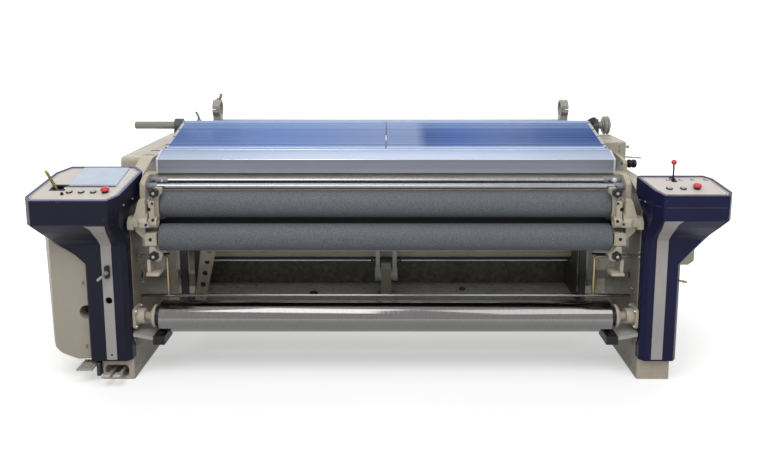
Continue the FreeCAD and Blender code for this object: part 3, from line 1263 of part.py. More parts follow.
def clamp_lever():
    """A small upright handle on a screw in the left ring's crown."""
    top = RING_Z + RING_OUTER
    bend = V(LEFT_RING_X + 22, LEVER_HOLE_Y, top + 12)
    stem = rod_z(LEFT_RING_X, LEVER_HOLE_Y, RING_Z + RING_BORE + 4, top + 6, 4)
    hub = rod_z(LEFT_RING_X, LEVER_HOLE_Y, top + LOOSE_CLEARANCE, top + 9, 8)
    handle = rod_between(V(LEFT_RING_X, LEVER_HOLE_Y, top + 5), bend, 4)
    grip = rod_between(bend - V(0, 0, 2), V(LEFT_RING_X + 14, LEVER_HOLE_Y, top + 36), 5)
    return fused(stem, hub, handle, grip)


def back_rest_roller():
    """The round roller between the ring brackets."""
    x0 = LEFT_RING_X + RING_WIDTH / 2 + LOOSE_CLEARANCE
    x1 = RIGHT_RING_X - RING_WIDTH / 2 - LOOSE_CLEARANCE
    profile = [
        (x0 - 30, 0), (x0 - 30, 15), (x0, 15), (x0, 30), (x0 + 4, 30), (x0 + 4, REST_RADIUS - 3),
        (x0 + 7, REST_RADIUS), (x1 - 7, REST_RADIUS), (x1 - 4, REST_RADIUS - 3), (x1 - 4, 30), (x1, 30),
        (x1, 15), (x1 + 30, 15), (x1 + 30, 0),
    ]
    return turned(profile, RING_Y, REST_Z)


def shaft_bearings():
    """A black split bearing on each frame for the cross shaft."""
    x0 = LEFT_WALL_X - 18
    upright = [
        (SHAFT_Y - 52, FRAME_TOP_Z, 0), (SHAFT_Y + 52, FRAME_TOP_Z, 0), (SHAFT_Y + 52, FRAME_TOP_Z + 16, 0),
        (SHAFT_Y + 40, SHAFT_Z, 0), (SHAFT_Y + 24, SHAFT_Z + 38, 10), (SHAFT_Y - 24, SHAFT_Z + 38, 10),
        (SHAFT_Y - 40, SHAFT_Z, 0), (SHAFT_Y - 52, FRAME_TOP_Z + 16, 0),
    ]
    bearing = along_x(upright, x0, x0 + 44)
    flange = box(LEFT_WALL_X - 62, x0 + 44, SHAFT_Y - 52, SHAFT_Y + 52, FRAME_TOP_Z, FRAME_TOP_Z + 14)
    z = FRAME_TOP_Z + 12
    rib = along_y([(x0 + 1, z, 0), (x0 - 40, z, 0), (x0 + 1, SHAFT_Z - 30, 0)], SHAFT_Y - 6, SHAFT_Y + 6)
    bearing = fused(bearing, flange, rib)
    bearing = bearing.cut(rod_x(x0 - 80, x0 + 80, SHAFT_Y, SHAFT_Z, SHAFT_RADIUS + RUN_CLEARANCE))
    return group(bearing, mirrored(bearing))


def cross_shaft():
    """The pipe that runs right across the loom, with a ribbed wheel on its right end."""
    r, wheel = SHAFT_RADIUS, WHEEL_RADIUS
    x0, x1 = SHAFT_LEFT_X, WHEEL_X + 24
    profile = [
        (x0, 0), (x0, r - 3), (x0 + 3, r), (WHEEL_X - 24, r), (WHEEL_X - 24, 34), (WHEEL_X - 16, 34),
        (WHEEL_X - 16, wheel - 4), (WHEEL_X - 12, wheel), (WHEEL_X - 4, wheel), (WHEEL_X - 2, wheel - 4),
        (WHEEL_X + 4, wheel - 4), (WHEEL_X + 6, wheel), (WHEEL_X + 13, wheel), (WHEEL_X + 16, wheel - 4),
        (WHEEL_X + 16, 30), (x1, 30), (x1, 0),
    ]
    shaft = turned(profile, SHAFT_Y, SHAFT_Z)
    holes = []
    for i in range(6):
        angle = math.radians(60 * i)
        holes.append(rod_x(
            WHEEL_X - 20, WHEEL_X + 20, SHAFT_Y + 41 * math.cos(angle), SHAFT_Z + 41 * math.sin(angle), 6))
    return shaft.cut(Part.makeCompound(holes))


def warp_beam():
    """The empty warp beam: a tube between two large flanges, on journals in the frames."""
    left_x = LEFT_WALL_X - RIM_WIDTH + 4
    flange_x = LEFT_WALL_X + 150
    left = [
        (left_x, 0), (left_x, BEAM_JOURNAL), (flange_x - 60, BEAM_JOURNAL), (flange_x - 60, 52),
        (flange_x - 14, 60),
        (flange_x - 14, BEAM_FLANGE_RADIUS), (flange_x, BEAM_FLANGE_RADIUS), (flange_x, BEAM_CORE_RADIUS),
    ]
    profile = left + [(2 * WEAVE_X - x, r) for x, r in reversed(left)]
    return turned(profile, BEAM_Y, BEAM_Z)


# ---- weaving motion -----------------------------------------------------------------------------
SLEY_HALF_DEPTH = 30.0
SLEY_LOW_Z = 862.0
SLEY_END_GAP = 70.0            # from the frame wall to the end of the sley beam
SWORD_X = (-1080.0, WEAVE_X - 46, WEAVE_X + 46, 1143.0)
COLLAR_LENGTH = 34.0
COLLAR_OUTER = 37.0


def sley():
    """Four swords on short pivots in the frames and the post, with the sley beam on top, bolted up as one."""
    middle = POST_HALF + LOOSE_CLEARANCE + COLLAR_LENGTH
    pieces = [
        rod_x(LEFT_WALL_X - 60, SWORD_X[0] + 6, PIVOT_Y, PIVOT_Z, ROCKER_RADIUS),
        rod_x(WEAVE_X - middle, WEAVE_X + middle, PIVOT_Y, PIVOT_Z, ROCKER_RADIUS),
        rod_x(SWORD_X[3] - 6, RIGHT_WALL_X + 60, PIVOT_Y, PIVOT_Z, ROCKER_RADIUS),
    ]
    for start in (WEAVE_X - middle, WEAVE_X + middle - COLLAR_LENGTH):
        pieces.append(rod_x(start, start + COLLAR_LENGTH, PIVOT_Y, PIVOT_Z, COLLAR_OUTER))
        for offset in (6, 15):
            groove = rod_x(start + offset, start + offset + 3, PIVOT_Y, PIVOT_Z, COLLAR_OUTER + 1)
            groove = groove.cut(rod_x(start, start + 30, PIVOT_Y, PIVOT_Z, COLLAR_OUTER - 4))
            pieces[-1] = pieces[-1].cut(groove)
    sword = [
        (PIVOT_Y - 30, PIVOT_Z - 30, 20), (PIVOT_Y + 30, PIVOT_Z - 30, 20), (PIVOT_Y + 34, PIVOT_Z + 40, 20),
        (PIVOT_Y + 20, SLEY_LOW_Z + 10, 0), (PIVOT_Y - 20, SLEY_LOW_Z + 10, 0),
        (PIVOT_Y - 34, PIVOT_Z + 40, 20),
    ]
    for x in SWORD_X:
        pieces.append(along_x(sword, x - 11, x + 11))
    beam = [
        (PIVOT_Y - SLEY_HALF_DEPTH, SLEY_LOW_Z, 8), (PIVOT_Y + SLEY_HALF_DEPTH, SLEY_LOW_Z, 8),
        (PIVOT_Y + SLEY_HALF_DEPTH, SLEY_TOP_Z, 4), (PIVOT_Y + 6, SLEY_TOP_Z, 0),
        (PIVOT_Y + 6, SLEY_TOP_Z - 14, 0),
        (PIVOT_Y - 6, SLEY_TOP_Z - 14, 0), (PIVOT_Y - 6, SLEY_TOP_Z, 0),
        (PIVOT_Y - SLEY_HALF_DEPTH, SLEY_TOP_Z - 8, 4),
    ]
    pieces.append(along_x(beam, LEFT_WALL_X + SLEY_END_GAP, RIGHT_WALL_X - SLEY_END_GAP))
    return fused(*pieces)


def reed():
    """A wall of upright dents between two bars, let into the groove on the sley."""
    x0, x1 = LEFT_WALL_X + SLEY_END_GAP + 10, RIGHT_WALL_X - SLEY_END_GAP - 10
    low, high = SLEY_TOP_Z - 14, REED_TOP_Z
    wall = box(x0, x1, PIVOT_Y - 6, PIVOT_Y + 6, low, high)
    pitch = (x1 - x0 - 12) / REED_DENTS
    gaps = []
    for i in range(REED_DENTS):
        left = x0 + 8 + i * pitch
        gaps.append(box(left, left + pitch - 4, PIVOT_Y - 7, PIVOT_Y + 7, low + 20, high - 12))
    wall = wall.cut(Part.makeCompound(gaps))
    thin = [
        box(x0 + 6, x1 - 6, PIVOT_Y - 7, PIVOT_Y - 3, low + 20, high - 12),
        box(x0 + 6, x1 - 6, PIVOT_Y + 3, PIVOT_Y + 7, low + 20, high - 12),
    ]
    return wall.cut(Part.makeCompound(thin))


def heald_frame(y):
    """A frame of two rails and two sticks, with a row of upright healds."""
    half = HEALD_THICKNESS / 2
    x0, x1 = LEFT_WALL_X + HEALD_END_GAP, RIGHT_WALL_X - HEALD_END_GAP
    rail = 36
    outer = box(x0, x1, y - half, y + half, HEALD_LOW_Z, HEALD_HIGH_Z)
    inner = box(x0 + 34, x1 - 34, y - half - 1, y + half + 1, HEALD_LOW_Z + rail, HEALD_HIGH_Z - rail)
    frame = outer.cut(inner)
    pitch = (x1 - x0 - 68) / (HEALD_COUNT + 1)
    healds = []
    for i in range(HEALD_COUNT):
        x = x0 + 34 + (i + 1) * pitch
        healds.append(box(x - 1, x + 1, y - 2, y + 2, HEALD_LOW_Z + rail - 2, HEALD_HIGH_Z - rail + 2))
    return fused(frame, *healds)


def main_shaft():
    """The driven shaft with two crank discs near each frame."""
    r = MAIN_SHAFT_RADIUS
    shaft = rod_x(LEFT_WALL_X - RIM_WIDTH + 2, RIGHT_WALL_X + RIM_WIDTH + 22, MAIN_SHAFT_Y, MAIN_SHAFT_Z, r)
    pieces = [shaft]
    for x in (LEFT_WALL_X + 60, RIGHT_WALL_X - 82):
        pieces.append(rod_x(x, x + 22, MAIN_SHAFT_Y, MAIN_SHAFT_Z, 78))
        pieces.append(rod_x(x - 6, x + 28, MAIN_SHAFT_Y, MAIN_SHAFT_Z, 40))
    return fused(*pieces)


def motor():
    """A finned motor flanged to the right frame round the end of the main shaft."""
    x = RIGHT_WALL_X + RIM_WIDTH
    profile = [(x, 0), (x, 118), (x + 14, 118), (x + 14, 84), (x + 34, 84), (x + 34, 100)]
    fins = 8
    for i in range(fins):
        left = x + 36 + 16 * i
        profile += [(left, 100), (left, 110), (left + 6, 110), (left + 6, 100)]
    profile += [(x + 168, 100), (x + 168, 104), (x + 204, 104), (x + 214, 84), (x + 214, 0)]
    body = turned(profile, MAIN_SHAFT_Y, MAIN_SHAFT_Z)
    y, z = MAIN_SHAFT_Y, MAIN_SHAFT_Z
    terminal = rounded_box(x + 60, x + 140, y - 45, y + 45, z + 90, z + 146, 10)
    bore = rod_x(x - 1, x + 26, MAIN_SHAFT_Y, MAIN_SHAFT_Z, MAIN_SHAFT_RADIUS + RUN_CLEARANCE)
    return fused(body, terminal).cut(bore)


# ---- the loom -----------------------------------------------------------------------------------
def clear_of_castings(console):
    """Opens a console where the castings' standoffs pass its inner side."""
    for boss in standoffs(1.0):
        console = console.cut(boss).cut(mirrored(boss))
    return console


def build():
    """Every piece of the loom, by name."""
    buttons_left = [push_button(x, LEFT_BUTTON_Y, LEFT_RIM_Z) for x in LEFT_BUTTON_X[:3]]
    buttons_right = [push_button(x, RIGHT_BUTTON_Y, RIGHT_RIM_Z) for x in RIGHT_BUTTON_X[:2]]
    upper_knob = star_knob(KNOB_UPPER_Y, KNOB_UPPER_Z)
    lower_knob = star_knob(KNOB_LOWER_Y, KNOB_LOWER_Z)
    bracket = left_roller_bracket()
    leaf = guard_left()
    press = (PRESS_LENGTH, UPPER_RADIUS, UPPER_Y, UPPER_Z, JOURNAL_RADIUS, PLATE_LEFT_X + 2)
    lower = (PRESS_LENGTH, LOWER_RADIUS, LOWER_Y, LOWER_Z, JOURNAL_RADIUS, BLOCK_LEFT_X + 2)
    take_up = (PRESS_LENGTH, TAKE_UP_RADIUS, TAKE_UP_Y, TAKE_UP_Z, JOURNAL_RADIUS, PLATE_LEFT_X + 2)
    return {
        "left_frame": left_frame(), "right_frame": right_frame(), "cross_beams": cross_beams(),
        "centre_post": centre_post(), "drain_tray": drain_tray(), "guide_bars": guide_bars(),
        "left_console": clear_of_castings(left_console()),
        "right_console": clear_of_castings(right_console()),
        "trim_stripes": trim_stripes(), "left_panel": left_panel(), "right_panel": right_panel(),
        "touch_screen": touch_screen(), "switch_bases": switch_bases(), "isolator_lever": isolator_lever(),
        "rod_lever": rod_lever(), "lever_gimbal": lever_gimbal(), "ball_lever": ball_lever(),
        "yellow_button": buttons_left[0], "green_button": buttons_left[1], "blue_button": buttons_left[2],
        "stop_button": mushroom_button(LEFT_BUTTON_X[3], LEFT_BUTTON_Y, LEFT_RIM_Z),
        "right_green_button": buttons_right[0], "right_blue_button": buttons_right[1],
        "right_stop_button": mushroom_button(RIGHT_BUTTON_X[2], RIGHT_BUTTON_Y, RIGHT_RIM_Z),
        "left_side_cover": left_side_cover(), "gear_cover": gear_cover(), "drive_housing": drive_housing(),
        "double_knob": double_knob(), "front_cover": front_cover(), "cover_end_caps": cover_end_caps(),
        "guard_left": leaf, "guard_right": mirrored(leaf),
        "upper_press_roller": plain_roller(*press), "lower_press_roller": plain_roller(*lower),
        "take_up_roller": plain_roller(*take_up), "left_roller_bracket": bracket,
        "right_roller_bracket": mirrored(bracket), "upper_left_knob": upper_knob,
        "lower_left_knob": lower_knob,
        "upper_right_knob": mirrored(upper_knob), "lower_right_knob": mirrored(lower_knob),
        "cloth_roller": cloth_roller(), "cloth_bearings": cloth_bearings(), "stop_plates": stop_plates(),
        "pedal_bracket": pedal_bracket(), "inner_pedal": bent_pedal(INNER_PEDAL_X),
        "outer_pedal": bent_pedal(OUTER_PEDAL_X), "wide_pedal": wide_pedal(),
        "ring_brackets": ring_brackets(), "clamp_lever": clamp_lever(),
        "back_rest_roller": back_rest_roller(), "shaft_bearings": shaft_bearings(),
        "cross_shaft": cross_shaft(), "warp_beam": warp_beam(), "sley": sley(), "reed": reed(),
        "heald_frame_a": heald_frame(HEALD_Y[0]), "heald_frame_b": heald_frame(HEALD_Y[1]),
        "main_shaft": main_shaft(), "motor": motor(),
    }


def report_and_export(nodes):
    """Writes one file for each node, and prints what could be wrong with it."""
    for name, shape in nodes.items():
        flawed = not shape.isValid() or not shape.Solids or any(s.Volume < 1 for s in shape.Solids)
        if flawed:
            print("check", name, shape.ShapeType, len(shape.Solids), shape.isValid())
        shape.exportStep("parts/" + name + ".step")
    whole = Part.makeCompound(list(nodes.values())).BoundBox
    print(len(nodes), "nodes; box", [round(v, 2) for v in (
        whole.XMin, whole.XMax, whole.YMin, whole.YMax, whole.ZMin, whole.ZMax)])


NODES = build()
report_and_export(NODES)
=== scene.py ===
"""Surface finish, small hardware and studio of a water-jet power loom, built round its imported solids.

Lengths are metres in the loom's own frame: X to the right along the rollers, Y to the rear, Z up. The working
side is in front, at -Y.
"""

import json
import logging
import math
from collections import Counter
from collections.abc import Callable, Iterable, Sequence
from dataclasses import dataclass, field
from enum import Enum

import bmesh
import bpy
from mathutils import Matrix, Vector
from mathutils.bvhtree import BVHTree

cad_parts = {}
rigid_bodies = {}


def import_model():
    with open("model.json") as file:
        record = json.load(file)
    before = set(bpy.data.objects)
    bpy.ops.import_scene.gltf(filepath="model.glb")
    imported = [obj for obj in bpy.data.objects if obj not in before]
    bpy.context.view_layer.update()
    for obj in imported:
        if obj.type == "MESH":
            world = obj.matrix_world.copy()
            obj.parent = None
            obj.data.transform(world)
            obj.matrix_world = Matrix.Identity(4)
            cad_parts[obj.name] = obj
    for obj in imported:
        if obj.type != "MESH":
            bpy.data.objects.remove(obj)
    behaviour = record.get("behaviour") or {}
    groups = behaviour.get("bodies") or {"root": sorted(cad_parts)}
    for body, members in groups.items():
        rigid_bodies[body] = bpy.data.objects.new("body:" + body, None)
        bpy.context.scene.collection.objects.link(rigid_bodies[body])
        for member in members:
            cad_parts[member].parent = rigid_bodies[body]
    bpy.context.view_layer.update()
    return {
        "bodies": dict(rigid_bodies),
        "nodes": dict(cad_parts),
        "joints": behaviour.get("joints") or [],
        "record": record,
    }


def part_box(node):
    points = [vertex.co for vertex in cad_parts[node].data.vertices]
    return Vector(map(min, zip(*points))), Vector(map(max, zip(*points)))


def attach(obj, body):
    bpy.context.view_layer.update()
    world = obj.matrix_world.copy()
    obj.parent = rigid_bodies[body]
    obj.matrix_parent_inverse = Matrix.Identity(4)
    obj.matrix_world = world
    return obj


logging.basicConfig(level=logging.INFO, format="%(levelname)s %(message)s")
LOG = logging.getLogger("loom")

Colour = tuple[float, float, float]
Point = tuple[float, float, float]
Pair = tuple[float, float]
Tones = tuple[tuple[float, Colour], ...]  # heights with their colours
Profile = Sequence[Pair]  # radii with their heights
Mark = tuple[float, float, str]  # a pixel of the photograph, or an X and a Z, with the node there
Choice = Callable[[Vector, Vector], int]  # which finish a face takes, by its middle and direction
Value = float | Sequence[float]
Socket = bpy.types.NodeSocket

MM = 0.001
RIGHT, REAR, UP = Vector((1, 0, 0)), Vector((0, 1, 0)), Vector((0, 0, 1))
MIDDLE_X = 0.0315  # the weaving width's middle
WALL_X = (-1.200, 1.263)  # the frames' inner walls, left and right
PANEL_SLOPE = math.radians(14.0)
PANEL_RISE = Vector((0, math.cos(PANEL_SLOPE), math.sin(PANEL_SLOPE)))
PANEL_UP = Vector((0, -math.sin(PANEL_SLOPE), math.cos(PANEL_SLOPE)))
IN_FRONT = -1.3  # from here lines are cast to the rear
ABOVE = 1.6  # from here lines are cast down
OFF_MIDDLE = 0.9  # this far off the weaving width's middle, lines are cast outwards
ROUND = 60.0  # degrees: below it the edges of round parts stay soft
PHOTO_WIDTH = 767
PHOTO_HEIGHT = 467


class Grain(Enum):
    """Which way a surface's fine lines run."""

    EVEN = (1.0, 1.0, 1.0)
    ALONG_X = (0.02, 1.0, 1.0)
    STRAIGHT_X = (0.001, 1.0, 1.0)
    ALONG_Z = (1.0, 1.0, 0.02)
    ROUND_X = (1.0, 0.05, 0.05)


class Side(Enum):
    """The loom's two ends, each as the way that leads there along X."""

    LEFT = -1
    RIGHT = 1

    @property
    def word(self) -> str:
        """The side as it stands in the names of pieces."""
        return self.name.lower()

    def x(self, left_x: float) -> float:
        """The X on this side that matches one on the left."""
        return left_x if self is Side.LEFT else 2 * MIDDLE_X - left_x


class Head(Enum):
    """Heads of screws: each turned part's steps, then its radii and heights as shares of the head's width."""

    CAP = ((12, ((0.5, 0), (0.5, 0.5), (0.46, 0.56), (0.275, 0.56), (0.25, 0.3))),)
    PAN = ((16, ((0.5, 0), (0.48, 0.16), (0.35, 0.27), (0.1, 0.3))),)
    BOLT = ((20, ((0.62, 0), (0.66, 0.06), (0.62, 0.12))), (6, ((0.5, 0.12), (0.5, 0.477), (0.43, 0.54))))


# ---- materials ----------------------------------------------------------------------------------
def shade(colour: Colour, by: float) -> Colour:
    """A colour made darker or lighter by a factor."""
    return tuple(min(1.0, c * by) for c in colour)


class Tree:
    """A node tree, with short calls to fill it."""

    def __init__(self, tree: bpy.types.NodeTree) -> None:
        """Keeps the tree's nodes and links."""
        self.nodes = tree.nodes
        self.links = tree.links

    def node(self, kind: str, vector: Socket | None = None, **values: Value) -> bpy.types.Node:
        """Adds a node.

        Args:
            kind: Its type, without the first words that all types share.
            vector: What its vector input is joined to, if anything.
            **values: Plain values of its other inputs, such as From_Min for From Min.

        Returns:
            The new node.
        """
        made = self.nodes.new(f"ShaderNode{kind}")
        for name, value in values.items():
            made.inputs[name.replace("_", " ")].default_value = value
        if vector is not None:
            self.links.new(vector, made.inputs["Vector"])
        return made

    def between(self, value: Socket, source: Pair, target: Pair) -> Socket:
        """Maps one range of plain values to another.

        Args:
            value: The value that is mapped.
            source: Its low and high.
            target: What they become.

        Returns:
            A value output.
        """
        (low, high), (new_low, new_high) = source, target
        node = self.node("MapRange", From_Min=low, From_Max=high, To_Min=new_low, To_Max=new_high)
        self.links.new(value, node.inputs["Value"])
        return node.outputs["Result"]

    def joined(self, operation: str, first: Socket, second: Socket) -> Socket:
        """Works out one value from two.

        Args:
            operation: Blender's word for the sum.
            first: One value.
            second: The other.

        Returns:
            A value output.
        """
        node = self.node("Math")
        node.operation = operation
        self.links.new(first, node.inputs[0])
        self.links.new(second, node.inputs[1])
        return node.outputs["Value"]

    def ray_seen(self) -> Socket:
        """1 for camera, glossy and transmission rays.

        Returns:
            A value output.
        """
        rays = self.node("LightPath").outputs
        straight = self.joined("MAXIMUM", rays["Is Camera Ray"], rays["Is Glossy Ray"])
        return self.joined("MAXIMUM", straight, rays["Is Transmission Ray"])


class Graph(Tree):
    """The node tree of one material, with the patterns that the finishes use."""

    def __init__(self, name: str) -> None:
        """Starts a material with its principled shader.

        Args:
            name: The material's name.
        """
        self.material = bpy.data.materials.new(name)
        self.material.use_nodes = True
        super().__init__(self.material.node_tree)
        self.shader = next(n for n in self.nodes if n.type == "BSDF_PRINCIPLED")
        self.place = self.node("TexCoord").outputs["Object"]

    def set(self, **values: Value) -> None:
        """Sets the shader's own sockets, such as Coat_Weight for Coat Weight."""
        for name, value in values.items():
            self.shader.inputs[name.replace("_", " ")].default_value = value

    def link(self, source: Socket, socket: str) -> None:
        """Joins an output to one of the shader's sockets."""
        self.links.new(source, self.shader.inputs[socket])

    def noise(
        self, scale: float, detail: float = 3.0, grain: Grain = Grain.EVEN, rough: float = 0.55
    ) -> Socket:
        """A soft noise from 0 to 1 in the piece's own space.

        Args:
            scale: Waves in a metre.
            detail: Octaves.
            grain: The way that it is drawn out.
            rough: Share of each finer octave.

        Returns:
            The noise's value output.
        """
        drawn = self.node("Mapping", self.place, Scale=grain.value).outputs["Vector"]
        return self.node("TexNoise", drawn, Scale=scale, Detail=detail, Roughness=rough).outputs["Fac"]

    def cells(self, scale: float) -> Socket:
        """A pattern of cells, each with a colour of its own."""
        return self.node("TexVoronoi", self.place, Scale=scale).outputs["Color"]

    def along(self, axis: str, low: float, high: float) -> Socket:
        """How far a place lies from low to high on one of the piece's own axes, as 0 to 1."""
        return self.between(self.node("SeparateXYZ", self.place).outputs[axis], (low, high), (0.0, 1.0))

    def ramp(self, value: Socket, stops: Sequence[tuple[float, Colour]]) -> Socket:
        """Colours by a value.

        Args:
            value: The value that is looked up.
            stops: Places from 0 to 1, each with its colour.

        Returns:
            A colour output.
        """
        node = self.node("ValToRGB")
        elements = node.color_ramp.elements
        while len(elements) < len(stops):
            elements.new(0.5)
        for element, (place, colour) in zip(elements, stops):
            element.position = place
            element.color = (*colour, 1.0)
        self.links.new(value, node.inputs["Fac"])
        return node.outputs["Color"]

    def levels(self, value: Socket, stops: Sequence[Pair]) -> Socket:
        """Plain levels by a value, from pairs of a place and its level."""
        return self.ramp(value, [(place, (level,) * 3) for place, level in stops])

    def shades(self, noise: Socket, colour: Colour, darkest: float, lightest: float) -> Socket:
        """Shades of one colour by the middle of a noise, between two factors."""
        return self.ramp(noise, [(0.3, shade(colour, darkest)), (0.7, shade(colour, lightest))])

    def spread(self, noise: Socket, low: float, high: float) -> Socket:
        """Maps the middle of a noise, 0.3 to 0.7, to a range of plain values."""
        return self.between(noise, (0.3, 0.7), (low, high))

    def blend(self, share: Socket, first: Socket | Colour, second: Socket | Colour) -> Socket:
        """Mixes two colours.

        Args:
            share: How much of the second shows.
            first: The colour below.
            second: The colour above.

        Returns:
            A colour output.
        """
        node = self.node("Mix")
        node.data_type = "RGBA"
        self.links.new(share, node.inputs[0])
        for socket, colour in ((node.inputs[6], first), (node.inputs[7], second)):
            if isinstance(colour, tuple):
                socket.default_value = (*colour, 1.0)
            else:
                self.links.new(colour, socket)
        return node.outputs[2]

    def bump(self, height: Socket, depth: float, strength: float) -> None:
        """Raises the surface by a height field.

        Args:
            height: The field.
            depth: Metres from its low to its high.
            strength: Share of the effect.
        """
        node = self.node("Bump", Distance=depth, Strength=strength)
        self.links.new(height, node.inputs["Height"])
        self.link(node.outputs["Normal"], "Normal")


@dataclass(frozen=True)
class Finish:
    """What every finish has: a name, a colour, a gloss and the material slot of small parts in it."""

    name: str
    colour: Colour
    roughness: float = 0.4
    slot: str = field(default="", kw_only=True)

    def dress(self, graph: Graph) -> None:
        """Adds the finish's own nodes."""
        raise NotImplementedError

    def material(self) -> bpy.types.Material:
        """The finish's material, made once.

        Returns:
            The material of that name.
        """
        made = bpy.data.materials.get(self.name)
        if made is None:
            graph = Graph(self.name)
            graph.set(Base_Color=(*self.colour, 1.0), Roughness=self.roughness)
            self.dress(graph)
            made = graph.material
        return made

    def vary_gloss(self, graph: Graph, noise: Socket, smoother: float, rougher: float) -> None:
        """Lets the roughness vary round its own value by a noise."""
        graph.link(graph.spread(noise, self.roughness - smoother, self.roughness + rougher), "Roughness")


@dataclass(frozen=True)
class Enamel(Finish):
    """Sprayed machine paint: faint orange peel, cloudy tone, and dust that settles in soft streaks."""

    dust: float = 0.12
    peel: float = 0.00012
    coat: float = 0.25

    def dress(self, graph: Graph) -> None:
        """Adds cloud, streak and peel.

        Args:
            graph: The material's nodes.
        """
        cloud = graph.shades(graph.noise(5.0, 4.0), self.colour, 0.94, 1.04)
        streak = graph.spread(graph.noise(18.0, 5.0, Grain.ALONG_Z), 0.0, self.dust)
        graph.link(graph.blend(streak, cloud, shade(self.colour, 0.55)), "Base Color")
        self.vary_gloss(graph, graph.noise(40.0), 0.06, 0.08)
        graph.bump(graph.noise(420.0, 2.0), self.peel, 0.6)
        graph.set(Coat_Weight=self.coat, Coat_Roughness=0.25)


@dataclass(frozen=True)
class CastEnamel(Finish):
    """Thick paint on a sand casting, with the sand's grain under it and oil in its hollows."""

    grime: float = 0.25
    sand: float = 0.0004

    def dress(self, graph: Graph) -> None:
        """Adds grain and grime.

        Args:
            graph: The material's nodes.
        """
        cloud = graph.shades(graph.noise(9.0, 5.0), self.colour, 0.9, 1.05)
        grime = graph.spread(graph.noise(26.0, 6.0, rough=0.7), -self.grime, self.grime)
        graph.link(graph.blend(grime, cloud, shade(self.colour, 0.38)), "Base Color")
        self.vary_gloss(graph, graph.noise(60.0), 0.1, 0.12)
        graph.bump(graph.noise(260.0, 4.0), self.sand, 0.7)


@dataclass(frozen=True)
class Moulding(Finish):
    """Moulded plastic: a fine leather-like grain and a uniform tone with slight flow clouds."""

    grain: float = 0.0001
    coat: float = 0.0
    cloud: float = 0.06
    shine: float = 0.5

    def dress(self, graph: Graph) -> None:
        """Adds flow clouds and mould grain.

        Args:
            graph: The material's nodes.
        """
        tone = graph.shades(graph.noise(7.0, 3.0), self.colour, 1.0 - self.cloud, 1.0 + self.cloud)
        graph.link(tone, "Base Color")
        self.vary_gloss(graph, graph.noise(90.0), 0.04, 0.06)
        graph.bump(graph.noise(900.0, 2.0), self.grain, 0.5)
        graph.set(Coat_Weight=self.coat, Coat_Roughness=0.12, Specular_IOR_Level=self.shine)


@dataclass(frozen=True)
class Grip(Finish):
    """A roller's gritty cover: dark and pale grains close together."""

    speck: float = 0.5
    pitch: float = 190.0
    depth: float = 0.0006

    def dress(self, graph: Graph) -> None:
        """Adds the grit, in tone and in height, and faint bands round the roller.

        Args:
            graph: The material's nodes.
        """
        grit = graph.noise(self.pitch, 4.0, rough=0.75)
        pale, dark = shade(self.colour, 1.0 + self.speck), shade(self.colour, 1.0 - self.speck)
        tone = graph.ramp(grit, [(0.34, dark), (0.5, self.colour), (0.66, pale)])
        band = graph.spread(graph.noise(3.0, 2.0, Grain.ROUND_X), 0.0, 0.16)
        graph.link(graph.blend(band, tone, shade(self.colour, 0.7)), "Base Color")
        graph.bump(grit, self.depth, 0.9)
        graph.set(Specular_IOR_Level=0.35)


@dataclass(frozen=True)
class Metal(Finish):
    """Bare metal with its tool lines and slight stains; a folded sheet can take painted light and shade by
    height.
    """

    grain: Grain = Grain.EVEN
    lines: float = 260.0
    stain: float = 0.18
    metallic: float = 1.0
    heights: Tones = ()

    def dress(self, graph: Graph) -> None:
        """Adds tool lines, painted light and shade by height, and stains.

        Args:
            graph: The material's nodes.
        """
        lines = graph.noise(self.lines, 4.0, self.grain, 0.7)
        tone = graph.shades(lines, self.colour, 0.86, 1.1)
        if self.heights:
            low, high = self.heights[0][0], self.heights[-1][0]
            stops = [((z - low) / (high - low), colour) for z, colour in self.heights]
            rise = graph.ramp(graph.along("Z", low, high), stops)
            tone = graph.blend(graph.spread(lines, 0.0, 0.15), rise, tone)
        stain = graph.spread(graph.noise(6.0, 5.0), 0.0, self.stain)
        graph.link(graph.blend(stain, tone, shade(self.colour, 0.5)), "Base Color")
        self.vary_gloss(graph, lines, 0.08, 0.1)
        graph.bump(lines, 0.00008, 0.5)
        graph.set(Metallic=self.metallic)


@dataclass(frozen=True)
class Spangle(Finish):
    """Zinc-coated sheet with its crystal flakes and water marks."""

    flakes: float = 46.0

    def dress(self, graph: Graph) -> None:
        """Adds flakes and marks.

        Args:
            graph: The material's nodes.
        """
        stops = [(0.0, shade(self.colour, 0.72)), (1.0, shade(self.colour, 1.18))]
        mark = graph.spread(graph.noise(4.0, 6.0, rough=0.7), -0.1, 0.5)
        tone = graph.ramp(graph.cells(self.flakes), stops)
        graph.link(graph.blend(mark, tone, shade(self.colour, 0.4)), "Base Color")
        self.vary_gloss(graph, graph.noise(30.0, 4.0), 0.1, 0.15)
        graph.bump(graph.noise(300.0, 2.0), 0.0001, 0.4)
        graph.set(Metallic=0.85)


